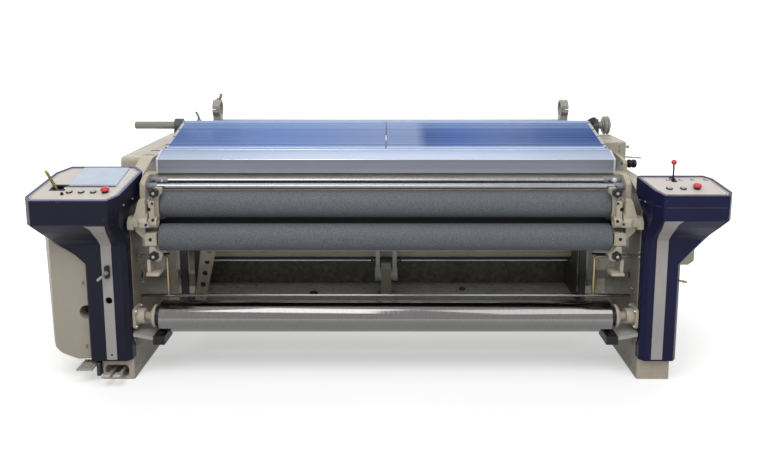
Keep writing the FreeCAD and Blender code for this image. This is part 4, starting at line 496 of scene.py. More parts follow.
@dataclass(frozen=True)
class Tint(Finish):
    """Clear tinted sheet over a dark machine: deeper stretches that paint the dark parts behind it and the
    shade on them, paler stretches, painted highlight bands and extrusion lines.
    """

    middle_colour: Colour = (0.24, 0.31, 0.50)
    # The deep and far stretches paint the dark parts behind the sheet together with the shade on them.
    deep_colour: Colour = (0.027, 0.070, 0.25)
    far_colour: Colour = (0.080, 0.135, 0.335)
    band_colour: Colour = (0.47, 0.60, 0.82)
    left_to_right: Pair = (-1.12, 1.18)
    front_to_rear: Pair = (-0.478, -0.060)
    # Bands from front to rear, each with its share of the highlight colour: painted highlights on the sheet.
    bands: tuple[Pair, ...] = (
        (0.0, 0.85), (0.08, 0.8), (0.11, 0.25), (0.22, 0.1), (0.40, 0.0), (0.64, 0.1), (0.68, 0.02),
        (0.75, 0.35), (0.80, 0.2), (0.85, 0.4), (0.88, 0.25), (0.93, 0.75), (1.0, 0.7),
    )
    cover: tuple[Pair, ...] = (
        (0.0, 0.84), (0.15, 0.85), (0.25, 0.90), (0.57, 0.90), (0.595, 0.95), (1.0, 0.95),
    )

    def dress(self, graph: Graph) -> None:
        """Adds the stretches along the sheet, partly painted shade behind it, its painted highlight bands,
        its fine lines and how much is seen through it.

        Args:
            graph: The material's nodes.
        """
        run = graph.along("X", *self.left_to_right)
        body = graph.ramp(run, [
            (0.0, self.colour), (0.25, shade(self.colour, 1.35)), (0.57, self.middle_colour),
            (0.595, self.deep_colour), (0.66, shade(self.deep_colour, 1.4)), (0.76, self.far_colour),
            (0.86, shade(self.far_colour, 0.85)), (1.0, self.deep_colour)])
        band = graph.levels(graph.along("Y", *self.front_to_rear), self.bands)
        lines = graph.noise(90.0, 3.0, Grain.STRAIGHT_X, 0.6)
        tone = graph.blend(band, body, self.band_colour)
        fine = graph.spread(lines, 0.0, 0.2)
        graph.link(graph.blend(fine, tone, shade(self.colour, 0.7)), "Base Color")
        graph.link(graph.levels(run, self.cover), "Alpha")
        graph.bump(lines, 0.0001, 0.2)
        graph.set(Coat_Weight=0.08, Coat_Roughness=0.08, Specular_IOR_Level=0.0)
        graph.material.surface_render_method = "DITHERED"


@dataclass(frozen=True)
class Display(Finish):
    """A lit touch screen: soft pale fields with faint rows, under smooth glass."""

    glow: float = 0.12
    haze: Colour = (0.56, 0.61, 0.66)

    def dress(self, graph: Graph) -> None:
        """Adds faint rows, haze and a slight glow.

        Args:
            graph: The material's nodes.
        """
        wave = graph.node("TexWave", graph.place, Scale=16.0, Distortion=0.0)
        wave.bands_direction = "Y"
        stops = [(0.2, shade(self.colour, 0.93)), (0.8, shade(self.colour, 1.05))]
        rows = graph.ramp(wave.outputs["Fac"], stops)
        tone = graph.blend(graph.spread(graph.noise(14.0), 0.0, 0.3), rows, self.haze)
        graph.link(tone, "Base Color")
        graph.link(tone, "Emission Color")
        graph.set(Emission_Strength=self.glow, Coat_Weight=1.0, Coat_Roughness=0.04)


# ---- mesh helpers -------------------------------------------------------------------------------
def circle(centre: Vector, axis: Vector, radius: float, steps: int) -> list[Vector]:
    """Points of a circle round an axis.

    Args:
        centre: Its middle.
        axis: A unit vector square to its plane.
        radius: Its radius.
        steps: How many points it has.

    Returns:
        The points in order.
    """
    first = axis.cross(UP if abs(axis.z) < 0.9 else RIGHT).normalized()
    second = axis.cross(first).normalized()
    turns = [2 * math.pi * i / steps for i in range(steps)]
    return [centre + (first * math.cos(a) + second * math.sin(a)) * radius for a in turns]


def arc(centre: Vector, u: Vector, v: Vector, radius: float, end: float, steps: int) -> list[Vector]:
    """Points of an arc from u to an angle in degrees, in the plane of u and v."""
    angles = [math.radians(end * i / steps) for i in range(steps + 1)]
    return [centre + u * (radius * math.cos(a)) + v * (radius * math.sin(a)) for a in angles]


def soften(target: bpy.types.Object, width: float) -> None:
    """Rounds an object's sharp edges, so that they catch the light.

    Args:
        target: The object.
        width: Width of the rounding.
    """
    bevel = target.modifiers.new("edge", "BEVEL")
    bevel.width = width
    bevel.segments = 2
    bevel.limit_method = "ANGLE"
    bevel.angle_limit = math.radians(38)
    bevel.use_clamp_overlap = True
    bevel.harden_normals = True


class Shape:
    """A mesh that is put together from simple forms, in the loom's frame."""

    def __init__(self) -> None:
        """Starts empty."""
        self.mesh = bmesh.new()

    def loft(self, rings: Sequence[Sequence[Vector]], caps: bool = True) -> "Shape":
        """Skins a row of closed rings that have as many points each.

        Args:
            rings: The rings, from one end to the other.
            caps: Whether the ends are filled.

        Returns:
            The shape itself.
        """
        rows = [[self.mesh.verts.new(p) for p in ring] for ring in rings]
        count = len(rows[0])
        for low, high in zip(rows, rows[1:]):
            for i in range(count):
                j = (i + 1) % count
                self.mesh.faces.new((low[i], low[j], high[j], high[i]))
        if caps:
            self.mesh.faces.new(list(reversed(rows[0])))
            self.mesh.faces.new(rows[-1])
        return self

    def lathe(self, base: Vector, axis: Vector, profile: Profile, steps: int) -> "Shape":
        """Turns a profile of radii and heights about an axis through a base point."""
        axis = axis.normalized()
        return self.loft([circle(base + axis * height, axis, radius, steps) for radius, height in profile])

    def head(self, seat: Vector, axis: Vector, width: float, kind: Head) -> None:
        """A screw's head on its seat, pointing along an axis."""
        for steps, profile in kind.value:
            self.lathe(seat, axis, [(radius * width, height * width) for radius, height in profile], steps)

    def prism(self, outline: Sequence[Vector], depth: Vector) -> "Shape":
        """Draws a flat outline out by a vector."""
        return self.loft([list(outline), [p + depth for p in outline]])

    def plate(self, corners: Sequence[Vector], out: Vector, depth: float, sink: float = 0.0003) -> "Shape":
        """A thin plate on a surface that faces out, sunk a little into it."""
        return self.prism([corner - out * sink for corner in corners], out * depth)

    def box(self, low: Sequence[float], high: Sequence[float]) -> "Shape":
        """A block between two corners.

        Args:
            low: The left, front, lower one.
            high: The right, rear, upper one.

        Returns:
            The shape itself.
        """
        (x0, y0, z0), (x1, y1, z1) = low, high
        base = [Vector((x, y, z0)) for x, y in ((x0, y0), (x1, y0), (x1, y1), (x0, y1))]
        return self.prism(base, UP * (z1 - z0))

    def tube(self, path: Sequence[Vector], radius: float, steps: int = 12) -> "Shape":
        """A round bar that follows a path.

        Args:
            path: The points of its middle line.
            radius: Half its width.
            steps: Faces round it.

        Returns:
            The shape itself.
        """
        rings = []
        for i, point in enumerate(path):
            ahead = path[min(i + 1, len(path) - 1)] - path[max(i - 1, 0)]
            rings.append(circle(point, ahead.normalized(), radius, steps))
        return self.loft(rings)

    def piece(
        self, name: str, finish: Finish, body: str = "base", *, slot: str = "", sharp: float = 35.0,
        bevel: float = 0.0,
    ) -> None:
        """Makes the object, dresses it and lets it ride on its body.

        Args:
            name: The piece's name.
            finish: Its surface.
            body: The body that it moves with.
            slot: The record's material slot, where it isn't the finish's own; not used.
            sharp: Angle in degrees above which an edge shows.
            bevel: Width of the rounded edges, if any.
        """
        bmesh.ops.recalc_face_normals(self.mesh, faces=self.mesh.faces)
        data = bpy.data.meshes.new(name)
        self.mesh.to_mesh(data)
        self.mesh.free()
        for polygon in data.polygons:
            polygon.use_smooth = True
        data.set_sharp_from_angle(angle=math.radians(sharp))
        made = bpy.data.objects.new(name, data)
        bpy.context.scene.collection.objects.link(made)
        data.materials.append(finish.material())
        if bevel > 0:
            soften(made, bevel)
        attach(made, body)
        LOG.info("made %s", name)


# ---- finishes of this loom ----------------------------------------------------------------------
# Painted light and shade by height on the silver cover's top and front: each paler towards its lower edge,
# darker towards its upper one.
COVER_TOP_PAINTED_SHADING: Tones = (
    (1.045, (0.42, 0.47, 0.60)), (1.062, (0.37, 0.43, 0.57)), (1.071, (0.30, 0.37, 0.53)),
    (1.079, (0.25, 0.32, 0.49)),
)
COVER_FRONT_PAINTED_SHADING: Tones = (
    (0.973, (0.42, 0.455, 0.54)), (0.984, (0.40, 0.43, 0.51)), (1.002, (0.26, 0.27, 0.31)),
    (1.020, (0.23, 0.24, 0.28)), (1.040, (0.18, 0.195, 0.23)),
)
SLOT_FINISHES: tuple[Finish, ...] = (
    CastEnamel("beige_cast_enamel", (0.42, 0.375, 0.295), 0.42, slot="beige_paint"),
    Moulding("navy_gloss_shell", (0.0062, 0.0068, 0.019), 0.36, cloud=0.15, shine=0.16, slot="navy_plastic"),
    Moulding("pale_trim_strip", (0.34, 0.32, 0.305), 0.42, slot="pale_trim"),
    Moulding("pale_panel_foil", (0.56, 0.51, 0.47), 0.4, cloud=0.03, slot="panel_plate"),
    Moulding("pale_screen_bezel", (0.50, 0.53, 0.58), 0.35, slot="screen"),
    Moulding("black_moulding", (0.010, 0.010, 0.012), 0.36, shine=0.25, slot="black_plastic"),
    Enamel("grey_enamel", (0.155, 0.16, 0.165), 0.38, slot="grey_paint"),
    CastEnamel("dark_cast_enamel", (0.022, 0.022, 0.026), 0.4, grime=0.1, slot="dark_paint"),
    Metal(
        "satin_silver_sheet", (0.42, 0.48, 0.62), 0.42, Grain.ALONG_X, 340.0, 0.04, 0.3, COVER_TOP_PAINTED_SHADING,
        slot="silver_sheet"),
    Moulding("white_end_cap", (0.60, 0.62, 0.68), 0.35, slot="white_plastic"),
    Tint("blue_clear_sheet", (0.100, 0.165, 0.38), 0.3, slot="blue_guard"),
    Grip("grey_grit_cover", (0.104, 0.112, 0.123), 0.62, 0.42, 180.0, slot="press_rubber"),
    Grip("dark_grit_cover", (0.02, 0.02, 0.022), 0.7, 0.4, slot="take_up_rubber"),
    Metal("hard_chrome", (0.30, 0.305, 0.325), 0.15, Grain.ROUND_X, 420.0, 0.12, slot="chrome"),
    Metal("dull_brass", (0.24, 0.185, 0.075), 0.38, Grain.ALONG_Z, 300.0, 0.3, slot="brass"),
    Metal("turned_steel", (0.34, 0.34, 0.335), 0.36, Grain.EVEN, 260.0, 0.25, slot="steel"),
    Enamel("grey_pipe_enamel", (0.24, 0.235, 0.20), 0.42, slot="grey_tube"),
    Spangle("zinc_coated_sheet", (0.36, 0.36, 0.35), 0.42, slot="sheet_steel"),
    Metal("drawn_aluminium", (0.48, 0.485, 0.50), 0.36, Grain.ALONG_X, 300.0, 0.1, slot="aluminium"),
    CastEnamel("motor_enamel", (0.07, 0.085, 0.105), 0.42, grime=0.12, slot="motor_paint"),
    Moulding("red_moulding", (0.52, 0.010, 0.022), 0.28, coat=0.3, slot="red_plastic"),
    Moulding("yellow_cap", (0.55, 0.41, 0.20), 0.32, coat=0.2, slot="yellow_plastic"),
    Moulding("green_cap", (0.36, 0.46, 0.38), 0.32, coat=0.2, slot="green_plastic"),
    Moulding("blue_cap", (0.33, 0.38, 0.46), 0.32, coat=0.2, slot="blue_plastic"),
)
FINISH_OF_SLOT: dict[str, Finish] = {finish.slot: finish for finish in SLOT_FINISHES}
CAST_BEIGE = FINISH_OF_SLOT["beige_paint"]
BLACK = FINISH_OF_SLOT["black_plastic"]
DARK = FINISH_OF_SLOT["dark_paint"]
WHITE = FINISH_OF_SLOT["white_plastic"]
STEEL = FINISH_OF_SLOT["steel"]
BRASS = FINISH_OF_SLOT["brass"]
PIPE = FINISH_OF_SLOT["grey_tube"]

BRIGHT_SCREW = Metal("bright_screw", (0.62, 0.62, 0.62), 0.3, Grain.EVEN, 500.0, 0.2, slot="steel")
BLACK_SCREW = Metal("blackened_screw", (0.05, 0.05, 0.055), 0.42, Grain.EVEN, 500.0, 0.1, slot="dark_paint")
BLUED_SCREW = Metal("blued_screw", (0.035, 0.045, 0.10), 0.32, Grain.EVEN, 500.0, 0.1, slot="dark_paint")
PALE_BRASS = Metal("pale_brass", (0.33, 0.275, 0.165), 0.36, Grain.ALONG_Z, 300.0, 0.2, slot="brass")
# Painted shade: a darker copy of the frames' beige for their inner walls, which stand in shade between the
# frames; its grime is random dirt.
SHADED_WALL = CastEnamel("oiled_frame_wall", (0.215, 0.19, 0.145), 0.4, grime=0.35, slot="beige_paint")
# Painted shade: near-black for the castings' holes, the frame walls' openings and the lid's slot, where there
# is only shade.
HOLE_SHADE = Moulding("dark_hollow", (0.006, 0.006, 0.006), 0.8, cloud=0.2, slot="black_plastic")
# Painted highlight: a paler navy line along the shells' seams and crease, where the edge turns and catches
# the light.
SEAM_HIGHLIGHT = Moulding("pale_seam", (0.030, 0.032, 0.062), 0.35, cloud=0.1, slot="navy_plastic")
DEEP_BLUE = Moulding("deep_blue_ink", (0.012, 0.016, 0.055), 0.4, cloud=0.1, slot="black_plastic")
GREY_INK = Moulding("grey_ink", (0.055, 0.055, 0.07), 0.45, cloud=0.1, slot="grey_paint")
DARK_GREEN = Moulding("dark_green_cap", (0.012, 0.035, 0.026), 0.4, cloud=0.1, slot="green_plastic")
# Painted highlight along the guard's front edge; the other lines keep the deeper blue.
FRONT_EDGE_HIGHLIGHT = Moulding("pale_clear_edge", (0.62, 0.72, 0.88), 0.2, coat=0.4, cloud=0.05, slot="blue_guard")
BLUE_LINE = Moulding("deeper_blue_edge", (0.09, 0.19, 0.52), 0.2, coat=0.4, cloud=0.05, slot="blue_guard")
PALE_SHEET = Enamel("pale_grey_sheet_enamel", (0.34, 0.335, 0.32), 0.4, slot="grey_paint")
PEDAL = Enamel("worn_pedal_enamel", (0.34, 0.325, 0.285), 0.42, dust=0.2, slot="grey_paint")

# Painted highlight on the consoles' upward rim faces: a paler navy on the left, a dimmer one on the right.
LEFT_RIM_HIGHLIGHT = Moulding("violet_navy_rim", (0.045, 0.050, 0.175), 0.3, coat=0.4, cloud=0.1)
RIGHT_RIM_HIGHLIGHT = Moulding("dark_navy_rim", (0.014, 0.015, 0.062), 0.3, coat=0.3, cloud=0.1)
SCREEN_GLASS = Display("lit_screen_glass", (0.31, 0.39, 0.49), 0.12)
SLEEVE = CastEnamel("grey_sleeve_enamel", (0.19, 0.195, 0.205), 0.4, grime=0.15)
GREEN_TIP = Moulding("pale_green_tip", (0.47, 0.52, 0.20), 0.3, coat=0.2)
TRAY_FLOOR = Enamel("wet_tray_floor", (0.46, 0.44, 0.40), 0.3, dust=0.5)
# The cover's front is a darker painted-shade copy of the silver sheet; its fold and curled edge are a paler
# painted highlight.
SHADED_COVER_FRONT = Metal(
    "brushed_cover_front", (0.27, 0.28, 0.315), 0.44, Grain.ALONG_X, 340.0, 0.05, 0.5, COVER_FRONT_PAINTED_SHADING)
COVER_EDGE_HIGHLIGHT = Metal("pale_folded_edge", (0.62, 0.66, 0.74), 0.3, Grain.ALONG_X, 340.0, 0.04)


# ---- the solids ---------------------------------------------------------------------------------
@dataclass(frozen=True)
class Inked:
    """Other finishes on some faces of a node, and the choice among them, 0 being its main finish."""

    finishes: tuple[Finish, ...]
    chosen: Choice


@dataclass(frozen=True)
class FaceInks:
    """The nodes that show more than one finish, and where each finish starts."""

    upright_x: tuple[Pair, ...] = ((-1.0665, -1.0295), (1.0635, 1.1005))
    upright_y: Pair = (-0.53, -0.37)
    upright_foot: float = 0.24
    sleeves: tuple[Point, ...] = ((-0.680, 0.959, 1.0675), (-0.732, 0.9405, 1.1065))  # Y, Z, start off middle
    sleeve_radius: float = 0.019
    rims: Pair = (0.925, 0.948)  # height of each panel's line at the front
    rim_lift: float = 0.0015
    facing: float = 0.9  # how nearly a face looks one way, 1 being fully
    rim_facing: float = 0.6
    cover_facing: Pair = (0.85, 0.5)  # the cover's front, and its fold
    cover_fold: float = 1.0775
    ball_height: float = 0.0262
    tip_height: float = 0.010
    tray_rim: float = 0.26
    knob_x: Pair = (-1.069, 1.132)
    knob_at: tuple[tuple[str, float, float], ...] = (("upper", -0.826, 0.925), ("lower", -0.868, 0.627))
    screw_end_radius: float = 0.0072
    roller_ends: Pair = (1.1215, 1.1005)

    def upright(self, at: Vector, _: Vector) -> int:
        """1 on the two uprights that stand with the cross beams."""
        (front, rear), over = self.upright_y, at.z > self.upright_foot
        return int(over and front < at.y < rear and any(low < at.x < high for low, high in self.upright_x))

    def sleeve(self, at: Vector, _: Vector) -> int:
        """1 on the sleeves at both ends of the guide bars."""
        off_x, reach = abs(at.x - MIDDLE_X), self.sleeve_radius
        return int(any(off_x > x and math.hypot(at.y - y, at.z - z) < reach for y, z, x in self.sleeves))

    def rim(self, panel_z: float) -> Choice:
        """1 on a console's upward faces above the sloping line of its panel."""
        low, rise = panel_z - self.rim_lift, math.tan(PANEL_SLOPE)
        return lambda at, normal: int(at.z > low + (at.y + 1.0) * rise and normal.z > self.rim_facing)

    def cover(self, middle: Vector, normal: Vector) -> int:
        """1 on the silver cover's front, a darker painted-shade copy of the sheet, 2 on its fold and its
        curled edge, a painted highlight.
        """
        front, fold = self.cover_facing
        return 1 if -normal.y > front else 2 * (middle.z > self.cover_fold or -normal.y > fold)

    def knob(self, y: float, z: float) -> Inked:
        """The bright screw end in the middle of the star knobs at a place."""
        return Inked((STEEL,), lambda middle, _: int(middle.y < y + MM and min(
            math.hypot(middle.x - x, middle.z - z) for x in self.knob_x) < self.screw_end_radius))

    def tray(self, middle: Vector, normal: Vector) -> int:
        """1 on the tray's floor, which faces up below its rim."""
        return int(normal.z > self.facing and middle.z < self.tray_rim)

    def roller(self, middle: Vector, _: Vector) -> int:
        """1 on the cloth roller's outer ends, 2 on the rings beside them."""
        off_middle = abs(middle.x - MIDDLE_X)
        return 1 if off_middle > self.roller_ends[0] else 2 * (off_middle > self.roller_ends[1])

    def by_node(self) -> dict[str, Inked]:
        """Every node with more than one finish.

        Returns:
            Its further finishes and the choice among them, by its name.
        """
        ball_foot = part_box("ball_lever")[1][2] - self.ball_height
        tip_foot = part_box("rod_lever")[1][2] - self.tip_height
        left_wall, right_wall = WALL_X
        knobs = {f"{level}_{side.word}_knob": self.knob(y, z)
                 for level, y, z in self.knob_at for side in Side}
        return knobs | {
            "cross_beams": Inked((DARK,), self.upright),
            "guide_bars": Inked((SLEEVE,), self.sleeve),
            # The consoles' upward rim faces take the painted highlights.
            "left_console": Inked((LEFT_RIM_HIGHLIGHT,), self.rim(self.rims[0])),
            "right_console": Inked((RIGHT_RIM_HIGHLIGHT,), self.rim(self.rims[1])),
            "front_cover": Inked((SHADED_COVER_FRONT, COVER_EDGE_HIGHLIGHT), self.cover),
            "ball_lever": Inked((BLACK,), lambda middle, _: int(middle.z < ball_foot)),
            "rod_lever": Inked((GREEN_TIP,), lambda middle, _: int(middle.z > tip_foot)),
            "touch_screen": Inked((SCREEN_GLASS,), lambda _, normal: int(normal.z > self.facing)),
            # The frames' inner walls take the darker painted-shade copy of the beige.
            "left_frame": Inked((SHADED_WALL,), lambda at, way: int(way.x > self.facing and at.x > left_wall)),
            "right_frame": Inked((SHADED_WALL,), lambda at, way: int(-way.x > self.facing and at.x < right_wall)),
            "drain_tray": Inked((TRAY_FLOOR,), self.tray),
            "cloth_roller": Inked((CAST_BEIGE, BLACK), self.roller),
        }


@dataclass
class CarriedNodes:
    """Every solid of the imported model, dressed by its material slot, with softened edges."""

    frame: dict
    edge_width: float = 1.2 * MM
    fine_edge_width: float = 0.5 * MM
    weld_within: float = 0.002 * MM
    plain_edges: tuple[str, ...] = ("reed", "heald_frame_a", "heald_frame_b")
    fine_nodes: tuple[str, ...] = (
        "switch_bases", "isolator_lever", "lever_gimbal", "yellow_button", "green_button", "blue_button",
        "stop_button", "right_green_button", "right_blue_button", "right_stop_button", "clamp_lever",
        "touch_screen", "left_panel", "right_panel", "trim_stripes", "front_cover", "cover_end_caps",
        "guard_left", "guard_right", "drain_tray",
    )
    own_finish: dict[str, Finish] = field(default_factory=lambda: {
        "left_side_cover": Enamel("beige_cover_enamel", (0.345, 0.305, 0.245), 0.4, dust=0.05),
        "gear_cover": Enamel("beige_sheet_enamel", (0.50, 0.45, 0.355), 0.42, dust=0.14),
        "drive_housing": Enamel("beige_box_enamel", (0.40, 0.365, 0.29), 0.42, dust=0.1),
        "back_rest_roller": Grip("wrapped_grey_cover", (0.36, 0.37, 0.38), 0.35, 0.25, 120.0),
        "cloth_roller": Metal("ground_bright_steel", (0.185, 0.18, 0.178), 0.11, Grain.ROUND_X, 420.0, 0.1),
        "drain_tray": Spangle("dull_tray_sheet", (0.150, 0.143, 0.125), 0.5),
        "stop_plates": Enamel("grey_plate_enamel", (0.235, 0.225, 0.20), 0.4),
        "ring_brackets": CastEnamel("grey_beige_cast_enamel", (0.33, 0.315, 0.27), 0.42),
        "centre_post": CastEnamel("dull_beige_post", (0.27, 0.245, 0.19), 0.42),
        "right_console": Moulding("blue_navy_shell", (0.0050, 0.0053, 0.036), 0.36, cloud=0.15, shine=0.16),
        "sley": CastEnamel("pale_sley_enamel", (0.42, 0.43, 0.43), 0.36),
        "inner_pedal": PEDAL,
        "outer_pedal": PEDAL,
        "wide_pedal": PEDAL,
    })

    def build(self) -> None:
        """Gives each node its finish and its edges."""
        slots = {row["node"]: row["material_slot"] for row in self.frame["record"]["subparts"]}
        inks = FaceInks().by_node()
        plain = Inked((), lambda middle, normal: 0)
        for name, target in self.frame["nodes"].items():
            finish = self.own_finish.get(name, FINISH_OF_SLOT[slots[name]])
            self.paint(target, finish, inks.get(name, plain))
            if name not in self.plain_edges:
                target.modifiers.new("weld", "WELD").merge_threshold = self.weld_within
                soften(target, self.fine_edge_width if name in self.fine_nodes else self.edge_width)
            LOG.info("dressed %s", name)

    @staticmethod
    def paint(target: bpy.types.Object, finish: Finish, inked: Inked) -> None:
        """Dresses each face by its place and direction.

        Args:
            target: The node's object.
            finish: Its main finish.
            inked: Its further finishes.
        """
        target.data.materials.clear()
        for one in (finish, *inked.finishes):
            target.data.materials.append(one.material())
        for polygon in target.data.polygons:
            polygon.material_index = inked.chosen(polygon.center, polygon.normal)


# ---- places on the solids -----------------------------------------------------------------------
@dataclass(frozen=True)
class Spot:
    """A place on a surface and the way the surface faces there."""

    at: Vector
    out: Vector

    def moved(self, by: float) -> Vector:
        """The place lifted off the surface."""
        return self.at + self.out * by


class Sight:
    """Finds places on the solids, so that every small part sits on what carries it."""

    def __init__(self, nodes: dict[str, bpy.types.Object], studio: "Studio") -> None:
        """Keeps the solids and the photograph's camera.

        Args:
            nodes: The objects by their node names.
            studio: Holds the camera's numbers.
        """
        self.nodes = nodes
        self.studio = studio
        self.trees: dict[str, BVHTree] = {}

    def tree(self, node: str) -> BVHTree:
        """The search tree of a node's faces, made once.

        Args:
            node: The node's name.

        Returns:
            Its tree.
        """
        if node not in self.trees:
            data = self.nodes[node].data
            corners = [tuple(v.co) for v in data.vertices]
            self.trees[node] = BVHTree.FromPolygons(corners, [tuple(p.vertices) for p in data.polygons])
        return self.trees[node]

    def meet(self, start: Vector, way: Vector, node: str) -> Spot:
        """The first surface of a node on a line.

        Args:
            start: Where the line starts.
            way: Where it goes.
            node: The node that it should meet.

        Returns:
            The place, facing back along the line. A line that misses gives the nearest place to its
            passing point.
        """
        way = way.normalized()
        at, out, _, _ = self.tree(node).ray_cast(start, way)
        if at is None:
            middle = sum((Vector(c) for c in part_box(node)), Vector()) / 2
            near = start + way * (middle - start).dot(way)
            at, out, _, _ = self.tree(node).find_nearest(near)
            LOG.warning("line from %s along %s misses %s, nearest place taken", start, way, node)
        return Spot(at, -out if out.dot(way) > 0 else out)

    def pixel(self, u: float, v: float, node: str) -> Spot:
        """The place on a node behind a pixel of the photograph."""
        return self.meet(Vector(self.studio.camera_at), self.studio.way(u, v), node)

    def front(self, x: float, z: float, node: str) -> Spot:
        """The place on a node seen straight from in front."""
        return self.meet(Vector((x, IN_FRONT, z)), REAR, node)

    def top(self, x: float, y: float, node: str) -> Spot:
        """The place on a node seen straight from above."""
        return self.meet(Vector((x, y, ABOVE)), -UP, node)

    def side(self, side: Side, y: float, z: float, node: str) -> Spot:
        """The place on a node seen from between the rollers' ends, towards one side."""
        return self.meet(Vector((MIDDLE_X + side.value * OFF_MIDDLE, y, z)), RIGHT * side.value, node)

    def seam(self, start: Vector, end: Vector, way: Vector, node: str, steps: int) -> list[Spot]:
        """Places along a line that is cast onto a node, from its start off the surface to its end."""
        return [self.meet(start.lerp(end, i / steps), way, node) for i in range(steps + 1)]


def outline_of_top(target: bpy.types.Object) -> list[Vector]:
    """The outer edge of a plate's upper face, in order.

    Args:
        target: The plate's object.

    Returns:
        Its corners.
    """
    data = target.data
    uses = Counter(key for polygon in data.polygons if polygon.normal.z > 0.9 for key in polygon.edge_keys)
    corner = {i: tuple(round(c, 6) for c in v.co) for i, v in enumerate(data.vertices)}
    beside: dict[Point, set[Point]] = {}
    for (a, b), count in uses.items():
        if count == 1 and corner[a] != corner[b]:
            beside.setdefault(corner[a], set()).add(corner[b])
            beside.setdefault(corner[b], set()).add(corner[a])
    loops, left = [], set(beside)
    while left:
        here = min(left)
        loop = []
        while here is not None:
            left.discard(here)
            loop.append(here)
            here = next((p for p in beside[here] if p in left), None)
        loops.append([Vector(p) for p in loop])
    return max(loops, key=lambda loop: max(p.x for p in loop) - min(p.x for p in loop))


def inset(loop: Sequence[Vector], by: float) -> list[Vector]:
    """A closed outline moved inwards.

    Args:
        loop: Its corners, in a plane that is nearly level.
        by: How far.

    Returns:
        The new corners.
    """
    centre = sum(loop, Vector()) / len(loop)
    moved = []
    for i, point in enumerate(loop):
        back, ahead = point - loop[i - 1], loop[(i + 1) % len(loop)] - point
        sides = []
        for edge in (back, ahead):
            side = Vector((-edge.y, edge.x, 0)).normalized()
            sides.append(side if side.dot(centre - point) > 0 else -side)
        mean = (sides[0] + sides[1]).normalized()
        step = mean * (by / max(0.4, mean.dot(sides[0])))
        plane = back.cross(ahead)
        if abs(plane.z) > 1e-12:
            step.z = -(plane.x * step.x + plane.y * step.y) / plane.z
        moved.append(point + step)
    return moved


# ---- small parts --------------------------------------------------------------------------------
@dataclass
class Fittings:
    """Small parts of one area; each kind of area adds its own."""

    sight: Sight

    def build(self) -> None:
        """Makes the parts."""
        raise NotImplementedError

    def seen(self, marks: Iterable[Mark]) -> list[Spot]:
        """The places behind pixels of the photograph."""
        return [self.sight.pixel(*mark) for mark in marks]

    def screws(
        self, name: str, spots: Iterable[Spot], finish: Finish, head: Head = Head.CAP, body: str = "base", *,
        width: float, sink: float = 0.4 * MM,
    ) -> None:
        """A set of like screws, sunk a little into what carries them.

        Args:
            name: The set's name.
            spots: Where they sit.
            finish: Their surface.
            head: Their form.
            body: The body that they move with.
            width: Width of a head.
            sink: How deep its foot lies below the surface.
        """
        shape = Shape()
        for spot in spots:
            shape.head(spot.moved(-sink), spot.out, width, head)
        shape.piece(name, finish, body)

    def bead(
        self, name: str, spots: Sequence[Spot], radius: float, finish: Finish, body: str = "base",
        lift: float = 0.0,
    ) -> None:
        """A thin round line along a surface, half sunk in it.

        Args:
            name: Its name.
            spots: The places that it runs through.
            radius: Half its width.
            finish: Its surface.
            body: The body that it moves with.
            lift: How far its middle stands off the surface.
        """
        shape = Shape().tube([spot.moved(lift) for spot in spots], radius, steps=8)
        shape.piece(name, finish, body, sharp=ROUND)


@dataclass(frozen=True)
class Turned:
    """A small turned part that stands on a surface."""

    name: str
    finish: Finish
    profile: Profile
    steps: int
    sink: float = 0.0003
    sharp: float = 35.0

    def build(self, spot: Spot) -> None:
        """Makes it at a place."""
        shape = Shape().lathe(spot.moved(-self.sink), spot.out, self.profile, self.steps)
        shape.piece(self.name, self.finish, sharp=self.sharp)


